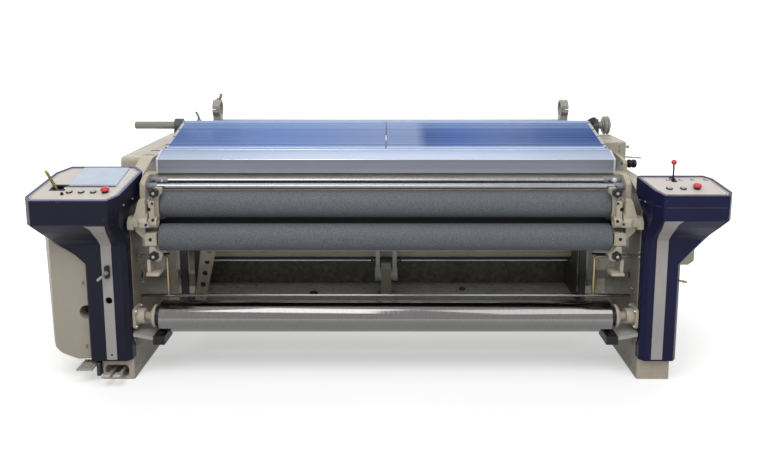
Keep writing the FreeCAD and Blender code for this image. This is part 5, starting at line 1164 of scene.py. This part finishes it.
@dataclass
class PanelFittings(Fittings):
    """What sits on the consoles' panels and rims."""

    stub_at: Pair = (-1.4547, -0.9273)
    stub: Turned = Turned("key_switch_stub", BLACK, (
        (0.0085, 0), (0.0085, 0.003), (0.0055, 0.0035), (0.0055, 0.011), (0.0045, 0.012)), steps=20)
    dome_at: Pair = (-1.4610, -0.8700)
    dome: Turned = Turned("pale_lamp_dome", WHITE, (
        (0.0075, 0), (0.0072, 0.003), (0.0055, 0.006), (0.003, 0.0078), (0.001, 0.0082)),
        steps=20, sharp=ROUND)
    latch: tuple[Point, Point] = ((-1.4562, -0.9988, 0.9195), (-1.4302, -0.9868, 0.9269))
    screen_x: Pair = (-1.4545, -1.2325)
    screen_front: float = -0.8525
    front_line: Pair = (0.004, 0.0034)  # its width and its thickness
    side_strip_x: float = -1.2255
    side_strip_y: Pair = (-0.846, -0.668)
    side_strip: Pair = (0.0085, 0.0022)  # its width and its thickness
    outline_from_edge: Pair = (0.0075, 0.0098)
    outline_height: float = 0.0005
    sign_x: tuple[float, ...] = (1.3651, 1.4217, 1.4783, 1.5397)
    sign_y: float = -0.8282
    sign_unit: float = 1.5 * MM
    signs: tuple[tuple[tuple[int, int, int, int], ...], ...] = (  # each bar's left, foot, right and top
        ((-6, -6, -3, 8), (-3, -6, 5, -3), (3, 2, 6, 6)),
        ((-3, -6, 0, 8), (2, -6, 8, -3), (-8, -6, -5, -3)),
        ((-2, -6, 1, 8), (-6, 0, -2, 3), (5, -3, 8, 4)),
        ((-5, -6, -2, 8), (0, -6, 8, -3), (0, -1, 3, 4)),
    )

    def build(self) -> None:
        """Adds the stub, dome, latch, the screen's edges, the panels' outlines and the signs."""
        self.stub.build(self.sight.top(*self.stub_at, "left_panel"))
        self.dome.build(self.sight.top(*self.dome_at, "left_panel"))
        Shape().box(*self.latch).piece("rim_latch", BLACK, bevel=0.6 * MM)
        self.screen_edges()
        for side in Side:
            self.outline(f"{side.word}_panel")
        self.add_signs()

    def screen_edges(self) -> None:
        """A dark line below the screen and a pale strip at its right side."""
        width, depth = self.front_line
        left, right = (self.sight.top(x, self.screen_front, "left_panel") for x in self.screen_x)
        rise = PANEL_RISE * width
        line = Shape().plate((left.at, right.at, right.at + rise, left.at + rise), left.out, depth, 0.4 * MM)
        line.piece("screen_front_line", DEEP_BLUE)
        width, depth = self.side_strip
        near, far = (self.sight.top(self.side_strip_x, y, "left_panel") for y in self.side_strip_y)
        wide = RIGHT * width
        strip = Shape().plate((near.at, near.at + wide, far.at + wide, far.at), near.out, depth, 0.4 * MM)
        strip.piece("screen_side_strip", WHITE)

    def outline(self, node: str) -> None:
        """A thin grey line that runs round a panel near its edge.

        Args:
            node: The panel.
        """
        loop = outline_of_top(self.sight.nodes[node])
        outer, inner = (inset(loop, by) for by in self.outline_from_edge)
        high = PANEL_UP * self.outline_height
        rings = (outer, [p + high for p in outer], [p + high for p in inner], inner, outer)
        shape = Shape().loft([[p - PANEL_UP * (0.2 * MM) for p in ring] for ring in rings], caps=False)
        bmesh.ops.remove_doubles(shape.mesh, verts=shape.mesh.verts, dist=1e-7)
        shape.piece(f"{node}_line", GREY_INK)

    def add_signs(self) -> None:
        """Four plain dark-blue signs of bars above the buttons."""
        shape = Shape()
        for x, bars in zip(self.sign_x, self.signs):
            middle = self.sight.top(x, self.sign_y, "right_panel").moved(-0.2 * MM)
            for x0, y0, x1, y1 in bars:
                corners = ((x0, y0), (x1, y0), (x1, y1), (x0, y1))
                bar = [middle + (RIGHT * a + PANEL_RISE * b) * self.sign_unit for a, b in corners]
                shape.prism(bar, PANEL_UP * (0.6 * MM))
        shape.piece("panel_signs", DEEP_BLUE, slot="navy_plastic")


@dataclass
class ShellFittings(Fittings):
    """Screws, seams and plugs of the consoles' shells, the side cover's clips, the side box and the pin."""

    side_screws: tuple[Mark, ...] = (
        (123.8, 205.0, "left_console"), (132.7, 199.0, "left_console"),
        (640.0, 200.0, "right_console"), (645.2, 201.6, "right_console"),
    )
    lines: tuple[tuple[str, str, Pair, Pair, float], ...] = (  # piece, node, X and Z of its ends, half width
        ("left_shell_seam", "left_console", (-1.576, 0.8131), (-1.194, 0.8131), 1.1 * MM),
        ("right_shell_seam", "right_console", (1.240, 0.8967), (1.591, 0.8967), 1.1 * MM),
        ("right_shell_crease", "right_console", (1.3399, 0.770), (1.590, 0.845), 1.0 * MM),
    )
    line_steps: int = 24
    front_plugs: tuple[Mark, ...] = ((-1.2406, 0.8433, "left_console"), (1.3022, 0.9263, "right_console"))
    trim_plug: tuple[Mark, ...] = ((112.0, 355.0, "trim_stripes"),)
    clips: tuple[Mark, ...] = tuple(
        (u, v, "left_side_cover") for u, v in ((83.0, 283.0), (85.5, 312.0), (87.0, 346.0)))
    clip_low: Point = (-0.005, -0.0035, -0.009)
    clip_size: Point = (0.010, 0.004, 0.018)
    box_low: Point = (1.3295, -0.690, 0.530)
    box_high: Point = (1.570, -0.470, 0.700)
    box_cut: Pair = (0.027, 0.021)
    pin_at: Point = (1.75, -0.850, 0.504)
    pin: Turned = Turned("side_pin", BRASS, (
        (0.0042, 0), (0.0042, 0.016), (0.0055, 0.0165), (0.0055, 0.034), (0.0030, 0.038)),
        steps=16, sink=2.0 * MM)

    def build(self) -> None:
        """Adds the screws, lines, plugs and clips, the box behind the right console and the pin below it."""
        self.screws("shell_side_screws", self.seen(self.side_screws), BRIGHT_SCREW, Head.PAN, width=0.0105)
        for name, node, (x0, z0), (x1, z1), radius in self.lines:
            ends = Vector((x0, IN_FRONT, z0)), Vector((x1, IN_FRONT, z1))
            run = self.sight.seam(*ends, REAR, node, self.line_steps)
            # Each seam and crease line is a painted highlight.
            self.bead(name, run, radius, SEAM_HIGHLIGHT, lift=-0.4 * MM)
        plugs = [self.sight.front(*mark) for mark in self.front_plugs] + self.seen(self.trim_plug)
        self.screws("shell_plugs", plugs, BLACK, Head.PAN, width=0.011, sink=1.8 * MM)
        clips = Shape()
        for spot in self.seen(self.clips):
            low = spot.at + Vector(self.clip_low)
            clips.box(low, low + Vector(self.clip_size))
        clips.piece("side_cover_clips", FINISH_OF_SLOT["grey_paint"], bevel=0.6 * MM)
        self.side_box()
        self.pin.build(self.sight.meet(Vector(self.pin_at), -RIGHT, "right_console"))

    def side_box(self) -> None:
        """A beige box on the right frame's outer wall, behind the console, with a cut lower corner."""
        (x0, y0, z0), (x1, y1, z1), (cut_x, cut_z) = self.box_low, self.box_high, self.box_cut
        corners = ((x0, z0), (x1 - cut_x, z0), (x1, z0 + cut_z), (x1, z1), (x0, z1))
        shape = Shape().prism([Vector((x, y0, z)) for x, z in corners], REAR * (y1 - y0))
        shape.piece("right_side_box", CAST_BEIGE, bevel=3.0 * MM)


@dataclass
class CastingFittings(Fittings):
    """Screws and holes of the roller castings, and the fixings on the frames' inner walls."""

    casting_screws: tuple[Mark, ...] = (
        (152.2, 203.7, "left_roller_bracket"), (146.0, 225.0, "left_roller_bracket"),
        (618.0, 203.7, "right_roller_bracket"), (623.6, 224.3, "right_roller_bracket"),
    )
    casting_holes: tuple[Mark, ...] = (
        (152.9, 220.2, "left_roller_bracket"), (150.2, 239.7, "left_roller_bracket"),
        (617.5, 221.4, "right_roller_bracket"), (620.5, 239.3, "right_roller_bracket"),
    )
    left_bolts: tuple[Mark, ...] = tuple((u, v, "left_frame") for u, v in (
        (138.4, 250.9), (138.6, 255.4), (138.8, 259.4), (143.1, 281.7), (144.4, 296.4), (138.4, 364.7)))
    right_bolts: tuple[Pair, ...] = ((-0.800, 0.628), (-0.800, 0.604), (-0.720, 0.418), (-0.700, 0.140))
    wall_bolt_width: float = 0.017
    bearing_at: Pair = (-0.780, 0.300)
    bearing_bolts: tuple[Pair, ...] = ((-0.041, -0.039), (-0.041, 0.039), (0.041, -0.039), (0.041, 0.039))
    ring_radius: float = 0.118
    ring_degrees: float = 96.0
    ring_half_width: float = 0.0035
    opening_at: Pair = (-0.654, 0.466)
    plug_profile: Profile = ((0.0216, -0.004), (0.0216, 0.0), (0.019, 0.001), (0.004, 0.0012))
    pad_x: Pair = (-1.101, -1.044)
    pad_corners: tuple[Pair, ...] = (
        (-0.836, 0.172), (-0.700, 0.172), (-0.694, 0.196),
        (-0.700, 0.2165), (-0.836, 0.2165), (-0.842, 0.196),
    )
    sheet_section: tuple[Pair, ...] = ((-1.1955, 0.233), (-1.099, 0.213), (-1.099, 0.210), (-1.1955, 0.230))
    sheet_y: Pair = (-0.836, 0.140)  # its front and its depth
    lip_section: tuple[Pair, ...] = ((-1.1955, 0.232), (-1.099, 0.212), (-1.099, 0.197), (-1.1955, 0.215))
    lip_y: Pair = (-0.8365, 0.003)
    rods: tuple[tuple[Side, float, float], ...] = ((Side.LEFT, -1.0616, -1.194), (Side.RIGHT, 1.0761, 1.257))
    rod_y: float = -0.680
    rod_foot: Pair = (-0.688, 0.374)
    rod_lean: float = 0.004
    rod_top: float = 0.5733
    rod_bend: float = 0.018
    rod_radius: float = 0.0080
    bar_z: float = 0.5845
    bar_reach: Pair = (-0.014, 0.052)  # inwards and outwards from the rod
    bar_radius: float = 0.0050
    sleeve_screws: tuple[Pair, ...] = ((-1.1418, 0.9630), (-1.0634, 0.9600))
    grub_screws: tuple[Pair, ...] = ((1.1279, 0.9600), (-1.1050, 0.9600), (1.1450, 0.9430))
    cap_at: Pair = (1.1520, 0.9620)
    cap: Turned = Turned("white_sleeve_cap", WHITE, (
        (0.0125, 0), (0.0125, 0.007), (0.0105, 0.0105), (0.006, 0.013), (0.002, 0.0136)),
        steps=24, sink=3.0 * MM, sharp=ROUND)

    def build(self) -> None:
        """Adds the castings' screws, discs of painted shade in their holes, the walls' fixings, the stops,
        rods and sleeve screws.
        """
        self.screws("casting_screws", self.seen(self.casting_screws), BLUED_SCREW, width=0.012)
        # Near-black discs in the castings' holes: painted shade.
        self.screws("casting_hole_plugs", self.seen(self.casting_holes), HOLE_SHADE, Head.PAN, width=0.016)
        walls = self.seen(self.left_bolts)
        self.screws("left_wall_bolts", walls, STEEL, Head.BOLT, width=self.wall_bolt_width)
        walls = [self.sight.side(Side.RIGHT, y, z, "right_frame") for y, z in self.right_bolts]
        self.screws("right_wall_bolts", walls, STEEL, Head.BOLT, width=self.wall_bolt_width)
        for part in (self.wall_ring, self.add_bearing_bolts, self.wall_plug, self.pad, self.stop_sheet):
            for side in Side:
                part(side)
        for side, x, wall in self.rods:
            self.rod(side, x, wall)
        self.add_sleeve_screws()

    def wall_ring(self, side: Side) -> None:
        """The raised arc round the cloth roller's bearing.

        Args:
            side: The frame that carries it.
        """
        points = arc(Vector((0, *self.bearing_at)), REAR, UP, self.ring_radius, self.ring_degrees, steps=24)
        spots = [self.sight.side(side, p.y, p.z, f"{side.word}_frame") for p in points]
        # The ring takes the inner walls' painted-shade finish.
        self.bead(f"{side.word}_wall_ring", spots, self.ring_half_width, SHADED_WALL)

    def add_bearing_bolts(self, side: Side) -> None:
        """Four bolts round a bearing of the cloth roller.

        Args:
            side: The bearing's side.
        """
        y, z = self.bearing_at
        spots = [self.sight.side(side, y + dy, z + dz, "cloth_bearings") for dy, dz in self.bearing_bolts]
        self.screws(f"{side.word}_bearing_bolts", spots, BRIGHT_SCREW, Head.BOLT, width=0.013)

    def wall_plug(self, side: Side) -> None:
        """A near-black disc in a frame wall's round opening: painted shade of the opening.

        Args:
            side: The wall's side.
        """
        x = WALL_X[side is Side.RIGHT]
        plug = Turned(f"{side.word}_wall_plug", HOLE_SHADE, self.plug_profile, steps=32, sink=0.0)
        plug.build(Spot(Vector((x, *self.opening_at)), RIGHT * -side.value))

    def pad(self, side: Side) -> None:
        """An oblong black pad on the end of a stop plate.

        Args:
            side: The plate's side.
        """
        x0, x1 = sorted(side.x(x) for x in self.pad_x)
        shape = Shape().prism([Vector((x0, y, z)) for y, z in self.pad_corners], RIGHT * (x1 - x0))
        shape.piece(f"{side.word}_stop_pad", BLACK, bevel=3.0 * MM)

    def stop_sheet(self, side: Side) -> None:
        """The pale sheet that slopes from a frame down to its stop plate, with a lip in front.

        Args:
            side: The frame's side.
        """
        shape = Shape()
        for section, (y, depth) in ((self.sheet_section, self.sheet_y), (self.lip_section, self.lip_y)):
            shape.prism([Vector((side.x(x), y, z)) for x, z in section], REAR * depth)
        shape.piece(f"{side.word}_stop_sheet", PALE_SHEET)

    def rod(self, side: Side, x: float, wall: float) -> None:
        """A bent brass rod that holds an end of the thin cloth bar, and the black bar over its bend.

        Args:
            side: The rod's side.
            x: Where it stands.
            wall: Where it ends in the frame.
        """
        out = side.value
        foot = Vector((x - out * self.rod_lean, *self.rod_foot))
        pivot = Vector((x + out * self.rod_bend, self.rod_y, self.rod_top - self.rod_bend))
        bend = arc(pivot, RIGHT * -out, UP, self.rod_bend, 90, steps=8)
        path = [foot, *bend, Vector((wall, self.rod_y, self.rod_top))]
        Shape().tube(path, self.rod_radius, steps=14).piece(f"{side.word}_brass_rod", PALE_BRASS, sharp=ROUND)
        ends = [Vector((x + out * reach, self.rod_y, self.bar_z)) for reach in self.bar_reach]
        Shape().tube(ends, self.bar_radius).piece(f"{side.word}_black_bar", BLACK, sharp=ROUND)

    def add_sleeve_screws(self) -> None:
        """Screws and a cap on the guide bars' sleeves."""
        pale, dark = ([self.sight.front(x, z, "guide_bars") for x, z in places]
                      for places in (self.sleeve_screws, self.grub_screws))
        self.screws("sleeve_screws", pale, BRIGHT_SCREW, width=0.012)
        self.screws("sleeve_grub_screws", dark, BLUED_SCREW, Head.PAN, width=0.010)
        self.cap.build(self.sight.front(*self.cap_at, "guide_bars"))


@dataclass
class GuardFittings(Fittings):
    """Lines, end strips and seam of the blue guard, and the rivets of the silver cover's caps."""

    leaves: tuple[tuple[Side, float, float], ...] = (  # side, outer X, inner X
        (Side.LEFT, -1.1185, 0.0300), (Side.RIGHT, 1.1815, 0.0330),
    )
    line_y: tuple[float, ...] = (-0.452, -0.335, -0.300, -0.196, -0.150, -0.105)
    line_from_end: float = 1.0 * MM
    front_line_radius: float = 1.6 * MM
    line_radius: float = 0.9 * MM
    strip_y: Pair = (-0.470, -0.072)
    strip_width: float = 0.016
    seam_width: float = 0.0022
    strip_depth: float = 0.0016
    strip_screw_y: tuple[float, ...] = (-0.452, -0.300, -0.200, -0.090)
    rivet_x: Pair = (-1.1232, 1.1862)
    rivet_z: float = 1.008

    def build(self) -> None:
        """Adds each leaf's lines, strips and screws, and the rivets."""
        for side, outer, inner in self.leaves:
            node = f"guard_{side.word}"
            self.lines(node, *sorted((outer, inner)))
            self.strip(node, "end_strip", outer, -side.value * self.strip_width, FINISH_OF_SLOT["aluminium"])
            self.strip(node, "seam", inner, side.value * self.seam_width, GREY_INK)
            middle = outer - side.value * self.strip_width / 2
            seats = [self.sight.top(middle, y, node) for y in self.strip_screw_y]
            spots = [Spot(seat.moved(self.strip_depth - 0.3 * MM), seat.out) for seat in seats]
            self.screws(f"{node}_strip_screws", spots, BLACK_SCREW, Head.PAN, node, width=0.009)
        rivets = [self.sight.front(x, self.rivet_z, "cover_end_caps") for x in self.rivet_x]
        self.screws("cap_rivets", rivets, BRIGHT_SCREW, Head.PAN, width=0.006)

    def lines(self, node: str, x0: float, x1: float) -> None:
        """The extruded lines along a leaf, the first one wider and paler: a painted highlight along the
        leaf's front.

        Args:
            node: The leaf.
            x0: Its left end.
            x1: Its right end.
        """
        for i, y in enumerate(self.line_y):
            radius, finish = (self.line_radius, BLUE_LINE) if i else (self.front_line_radius, FRONT_EDGE_HIGHLIGHT)
            start, end = (Vector((x, y, ABOVE)) for x in (x0 + self.line_from_end, x1 - self.line_from_end))
            run = self.sight.seam(start, end, -UP, node, steps=2)
            self.bead(f"{node}_line_{i + 1}", run, radius, finish, node, 0.2 * MM)

    def strip(self, node: str, name: str, x: float, width: float, finish: Finish) -> None:
        """A flat strip down one end of a leaf.

        Args:
            node: The leaf.
            name: The strip's own word.
            x: The leaf's end.
            width: How wide it is, below 0 towards the left.
            finish: Its surface.
        """
        inward = math.copysign(2.0 * MM, width)
        front, rear = (self.sight.top(x + inward, y, node) for y in self.strip_y)
        start, end = (spot.at - RIGHT * inward for spot in (front, rear))
        wide = RIGHT * width
        shape = Shape().plate((start, start + wide, end + wide, end), front.out, self.strip_depth)
        shape.piece(f"{node}_{name}", finish, node)


@dataclass
class InnerFittings(Fittings):
    """The rod and strip below the inner beam, and the caps in the tray."""

    spans: tuple[Pair, ...] = ((-0.9955, -0.0340), (0.0970, 1.0585))
    rod_at: Pair = (-0.277, 0.4235)
    rod_radius: float = 0.0045
    hanger_from_end: float = 0.012
    hanger: tuple[Point, Point] = ((-0.006, -0.2835, 0.416), (0.006, -0.262, 0.4392))
    strip: tuple[Point, Point] = ((-0.9955, -0.2725, 0.4275), (1.0585, -0.262, 0.4392))
    caps: tuple[tuple[str, Finish, float, float, float, float], ...] = (  # its pixel, radius and height
        ("drain_cap", BLACK, 313.5, 294.0, 0.024, 0.016),
        ("drain_plug", DARK_GREEN, 462.0, 289.5, 0.017, 0.014),
    )
    cap_profile: Profile = ((1, 0), (1, 0.4), (0.86, 0.75), (0.5, 0.95), (0.1, 1))  # shares of both

    def build(self) -> None:
        """Adds the rod with its hangers, the strip and the caps."""
        rods, hangers = Shape(), Shape()
        for x0, x1 in self.spans:
            rods.tube([Vector((x, *self.rod_at)) for x in (x0, x1)], self.rod_radius)
            for x in (x0 + self.hanger_from_end, x1 - self.hanger_from_end):
                hangers.box(*(Vector(corner) + RIGHT * x for corner in self.hanger))
        rods.piece("inner_rod", BRIGHT_SCREW, sharp=ROUND)
        hangers.piece("rod_hangers", DARK, bevel=0.8 * MM)
        Shape().box(*self.strip).piece("beam_under_strip", DEEP_BLUE, slot="dark_paint", bevel=0.8 * MM)
        for name, finish, u, v, radius, height in self.caps:
            profile = [(radius * wide, height * high) for wide, high in self.cap_profile]
            Turned(name, finish, profile, steps=28, sharp=50.0).build(self.sight.pixel(u, v, "drain_tray"))


@dataclass
class RearFittings(Fittings):
    """What shows above the guard and at the rear, and the sleeves of two small levers."""

    grips: tuple[tuple[str, str, Point, Point, float, Finish], ...] = (  # piece, node, ends, radius, finish
        ("clamp_lever_grip", "clamp_lever", (-0.9925, 0.286, 1.262), (-0.9800, 0.286, 1.3030), 0.0085, PIPE),
        ("isolator_grip", "isolator_lever", (-1.3050, -0.8960, 0.5400), (-1.3290, -0.9020, 0.5205), 0.0066,
         FINISH_OF_SLOT["pale_trim"]),
    )
    clamp_at: Point = (-1.087, 0.100, 1.132)
    clamp_profile: Profile = ((0.0215, 0), (0.033, 0), (0.033, 0.022), (0.0215, 0.022))
    clamp_lug: tuple[Point, Point] = ((-1.083, 0.092, 1.160), (-1.069, 0.108, 1.176))
    clamp_screw: tuple[Point, ...] = ((-1.076, 0.100, 1.172), (-1.080, 0.099, 1.190), (-1.092, 0.097, 1.212))
    clamp_screw_radius: float = 0.0068
    shaft_guard: tuple[Pair, ...] = ((1.176, 1.150), (1.236, 1.184), (1.254, 1.184), (1.254, 1.150))
    shaft_guard_y: Pair = (0.050, 0.012)  # its front and its depth
    slot_ends: tuple[Mark, ...] = ((151.0, 150.4, "gear_cover"), (161.5, 150.4, "gear_cover"))
    slot_half_width: float = 0.009

    def build(self) -> None:
        """Adds the sleeves, the clamp and guard on the cross shaft, and the painted shade of the lid's slot.
        """
        for grip in self.grips:
            self.grip(*grip)
        clamp = Shape().lathe(Vector(self.clamp_at), RIGHT, self.clamp_profile, steps=28).box(*self.clamp_lug)
        clamp.tube([Vector(p) for p in self.clamp_screw], self.clamp_screw_radius)
        clamp.piece("shaft_clamp", PIPE, "cross_shaft", bevel=0.8 * MM)
        front, depth = self.shaft_guard_y
        plate = Shape().prism([Vector((x, front, z)) for x, z in self.shaft_guard], REAR * depth)
        plate.piece("right_shaft_guard", DARK, bevel=1.0 * MM)
        self.lid_slot()

    @staticmethod
    def grip(name: str, node: str, start: Point, end: Point, radius: float, finish: Finish) -> None:
        """A sleeve over the outer half of a small lever.

        Args:
            name: The sleeve's name.
            node: The lever.
            start: Its inner end.
            end: Its outer end.
            radius: Half its width.
            finish: Its surface.
        """
        way = Vector(end) - Vector(start)
        size = way.length
        profile = ((radius * 0.72, 0), (radius * 0.9, size * 0.1), (radius, size * 0.6),
                   (radius * 0.95, size - 0.003), (radius * 0.6, size))
        Shape().lathe(Vector(start), way, profile, steps=18).piece(name, finish, node, sharp=50.0)

    def lid_slot(self) -> None:
        """A near-black plate on the gear cover's lid: painted shade of its slot."""
        left, right = self.seen(self.slot_ends)
        wide = left.out.cross(right.at - left.at).normalized() * self.slot_half_width
        corners = (left.at - wide, right.at - wide, right.at + wide, left.at + wide)
        Shape().plate(corners, left.out, 0.9 * MM).piece("lid_slot", HOLE_SHADE)


@dataclass
class PedalFittings(Fittings):
    """Ribs and treads of the pedals."""

    rib_x: tuple[float, ...] = (-1.436, -1.4145, -1.393)
    rib_y: Pair = (-0.900, -0.800)
    rib_radius: float = 0.0022
    treads: tuple[tuple[str, float], ...] = (("inner_pedal", -1.254), ("outer_pedal", -1.304))
    tread_y: float = -0.922
    tread_low: Point = (-0.016, -0.010, -0.0004)
    tread_size: Point = (0.032, 0.020, 0.0022)

    def build(self) -> None:
        """Adds the ribs and treads, which ride on their pedals."""
        for x in self.rib_x:
            start, end = (Vector((x, y, ABOVE)) for y in self.rib_y)
            run = self.sight.seam(start, end, -UP, "wide_pedal", steps=8)
            self.bead(f"wide_pedal_rib_{round(-x * 1000)}", run, self.rib_radius, PEDAL, "wide_pedal")
        for node, x in self.treads:
            low = self.sight.top(x, self.tread_y, node).at + Vector(self.tread_low)
            shape = Shape().box(low, low + Vector(self.tread_size))
            shape.piece(f"{node}_tread", WHITE, node, bevel=0.6 * MM)


# ---- studio -------------------------------------------------------------------------------------
@dataclass(frozen=True)
class Lamp:
    """A square soft light: where it hangs, the point it looks at, its side and its watts."""

    name: str
    place: Point
    aim: Point
    size: float
    power: float

    def build(self) -> None:
        """Hangs it up."""
        data = bpy.data.lights.new(self.name, "AREA")
        data.size = self.size
        data.energy = self.power
        made = bpy.data.objects.new(self.name, data)
        made.location = self.place
        made.rotation_euler = (Vector(self.aim) - Vector(self.place)).to_track_quat("-Z", "Y").to_euler()
        bpy.context.scene.collection.objects.link(made)


@dataclass
class Studio:
    """Floor, light and camera, at the photograph's viewing angle."""

    floor_size: float = 60.0
    floor_z: float = -0.0005
    floor_tones: Pair = (0.63, 0.65)
    glow_distances: Pair = (1.6, 3.6)
    glows: Pair = (0.46, 1.0)
    sky_strengths: Pair = (0.50, 1.0)  # on the loom, and as seen
    lamps: tuple[Lamp, ...] = (
        Lamp("key_light", (-1.4, -3.6, 5.0), (0.0, -0.4, 0.7), 3.2, 135.0),
        Lamp("fill_light", (2.6, -3.4, 4.2), (0.3, -0.5, 0.6), 3.0, 65.0),
        Lamp("rear_light", (0.0, 3.8, 4.2), (0.0, 0.2, 0.8), 3.6, 80.0),
    )
    camera_at: Point = (0.058, -4.300, 1.700)
    pitch: float = math.radians(8.69)  # below level
    focal_pixels: float = 750.0
    middle_pixel: Pair = (391.0, 142.6)
    sensor: float = 36.0

    def build(self) -> None:
        """Sets up everything that isn't part of the loom."""
        self.floor()
        self.sky()
        for lamp in self.lamps:
            lamp.build()
        self.camera()
        bpy.context.scene.view_settings.view_transform = "Standard"
        LOG.info("studio set")

    def way(self, u: float, v: float) -> Vector:
        """The direction of a photograph's pixel from the camera.

        Args:
            u: Pixels from the photograph's left edge.
            v: Pixels from its upper edge.

        Returns:
            The direction.
        """
        right = (u - self.middle_pixel[0]) / self.focal_pixels
        down = (v - self.middle_pixel[1]) / self.focal_pixels
        level, sink = math.cos(self.pitch), math.sin(self.pitch)
        return Vector((right, level - sink * down, -(sink + level * down)))

    def floor(self) -> None:
        """A pale plane that shows white to the camera and keeps the loom's shadow."""
        bpy.ops.mesh.primitive_plane_add(size=self.floor_size, location=(0, 0, self.floor_z))
        plane = bpy.context.object
        plane.name = "floor"
        graph = Graph("pale_floor")
        graph.set(Roughness=0.7, Specular_IOR_Level=0.05, Emission_Color=(1.0, 1.0, 1.0, 1.0))
        low, high = self.floor_tones
        graph.link(graph.levels(graph.noise(1.5), ((0.3, low), (0.7, high))), "Base Color")
        away = graph.node("VectorMath")
        away.operation = "LENGTH"
        graph.links.new(graph.place, away.inputs[0])
        glow = graph.between(away.outputs["Value"], self.glow_distances, self.glows)
        graph.link(graph.joined("MULTIPLY", graph.ray_seen(), glow), "Emission Strength")
        plane.data.materials.append(graph.material)

    def sky(self) -> None:
        """White behind the loom, and an even soft light on it."""
        world = bpy.data.worlds.new("studio_world")
        bpy.context.scene.world = world
        world.use_nodes = True
        tree = Tree(world.node_tree)
        background = next(n for n in tree.nodes if n.type == "BACKGROUND").inputs
        background["Color"].default_value = (1.0, 1.0, 1.0, 1.0)
        strength = tree.between(tree.ray_seen(), (0.0, 1.0), self.sky_strengths)
        tree.links.new(strength, background["Strength"])

    def camera(self) -> None:
        """The photograph's camera."""
        data = bpy.data.cameras.new("camera")
        data.sensor_width = self.sensor
        data.lens = self.focal_pixels / PHOTO_WIDTH * self.sensor
        data.shift_x = (PHOTO_WIDTH / 2 - self.middle_pixel[0]) / PHOTO_WIDTH
        data.shift_y = (self.middle_pixel[1] - PHOTO_HEIGHT / 2) / PHOTO_WIDTH
        data.clip_end = 100.0
        made = bpy.data.objects.new("camera", data)
        made.location = self.camera_at
        made.rotation_euler = (math.pi / 2 - self.pitch, 0.0, 0.0)
        bpy.context.scene.collection.objects.link(made)
        bpy.context.scene.camera = made


AREAS: tuple[type[Fittings], ...] = (
    PanelFittings, ShellFittings, CastingFittings, GuardFittings, InnerFittings, RearFittings, PedalFittings,
)


def main() -> None:
    """Loads the solids, dresses them, adds the small hardware and sets the studio."""
    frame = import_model()
    studio = Studio()
    studio.build()
    sight = Sight(frame["nodes"], studio)
    for builder in (CarriedNodes(frame), *(area(sight) for area in AREAS)):
        builder.build()
        LOG.info("%s done", type(builder).__name__)


if __name__ == "__main__":
    main()
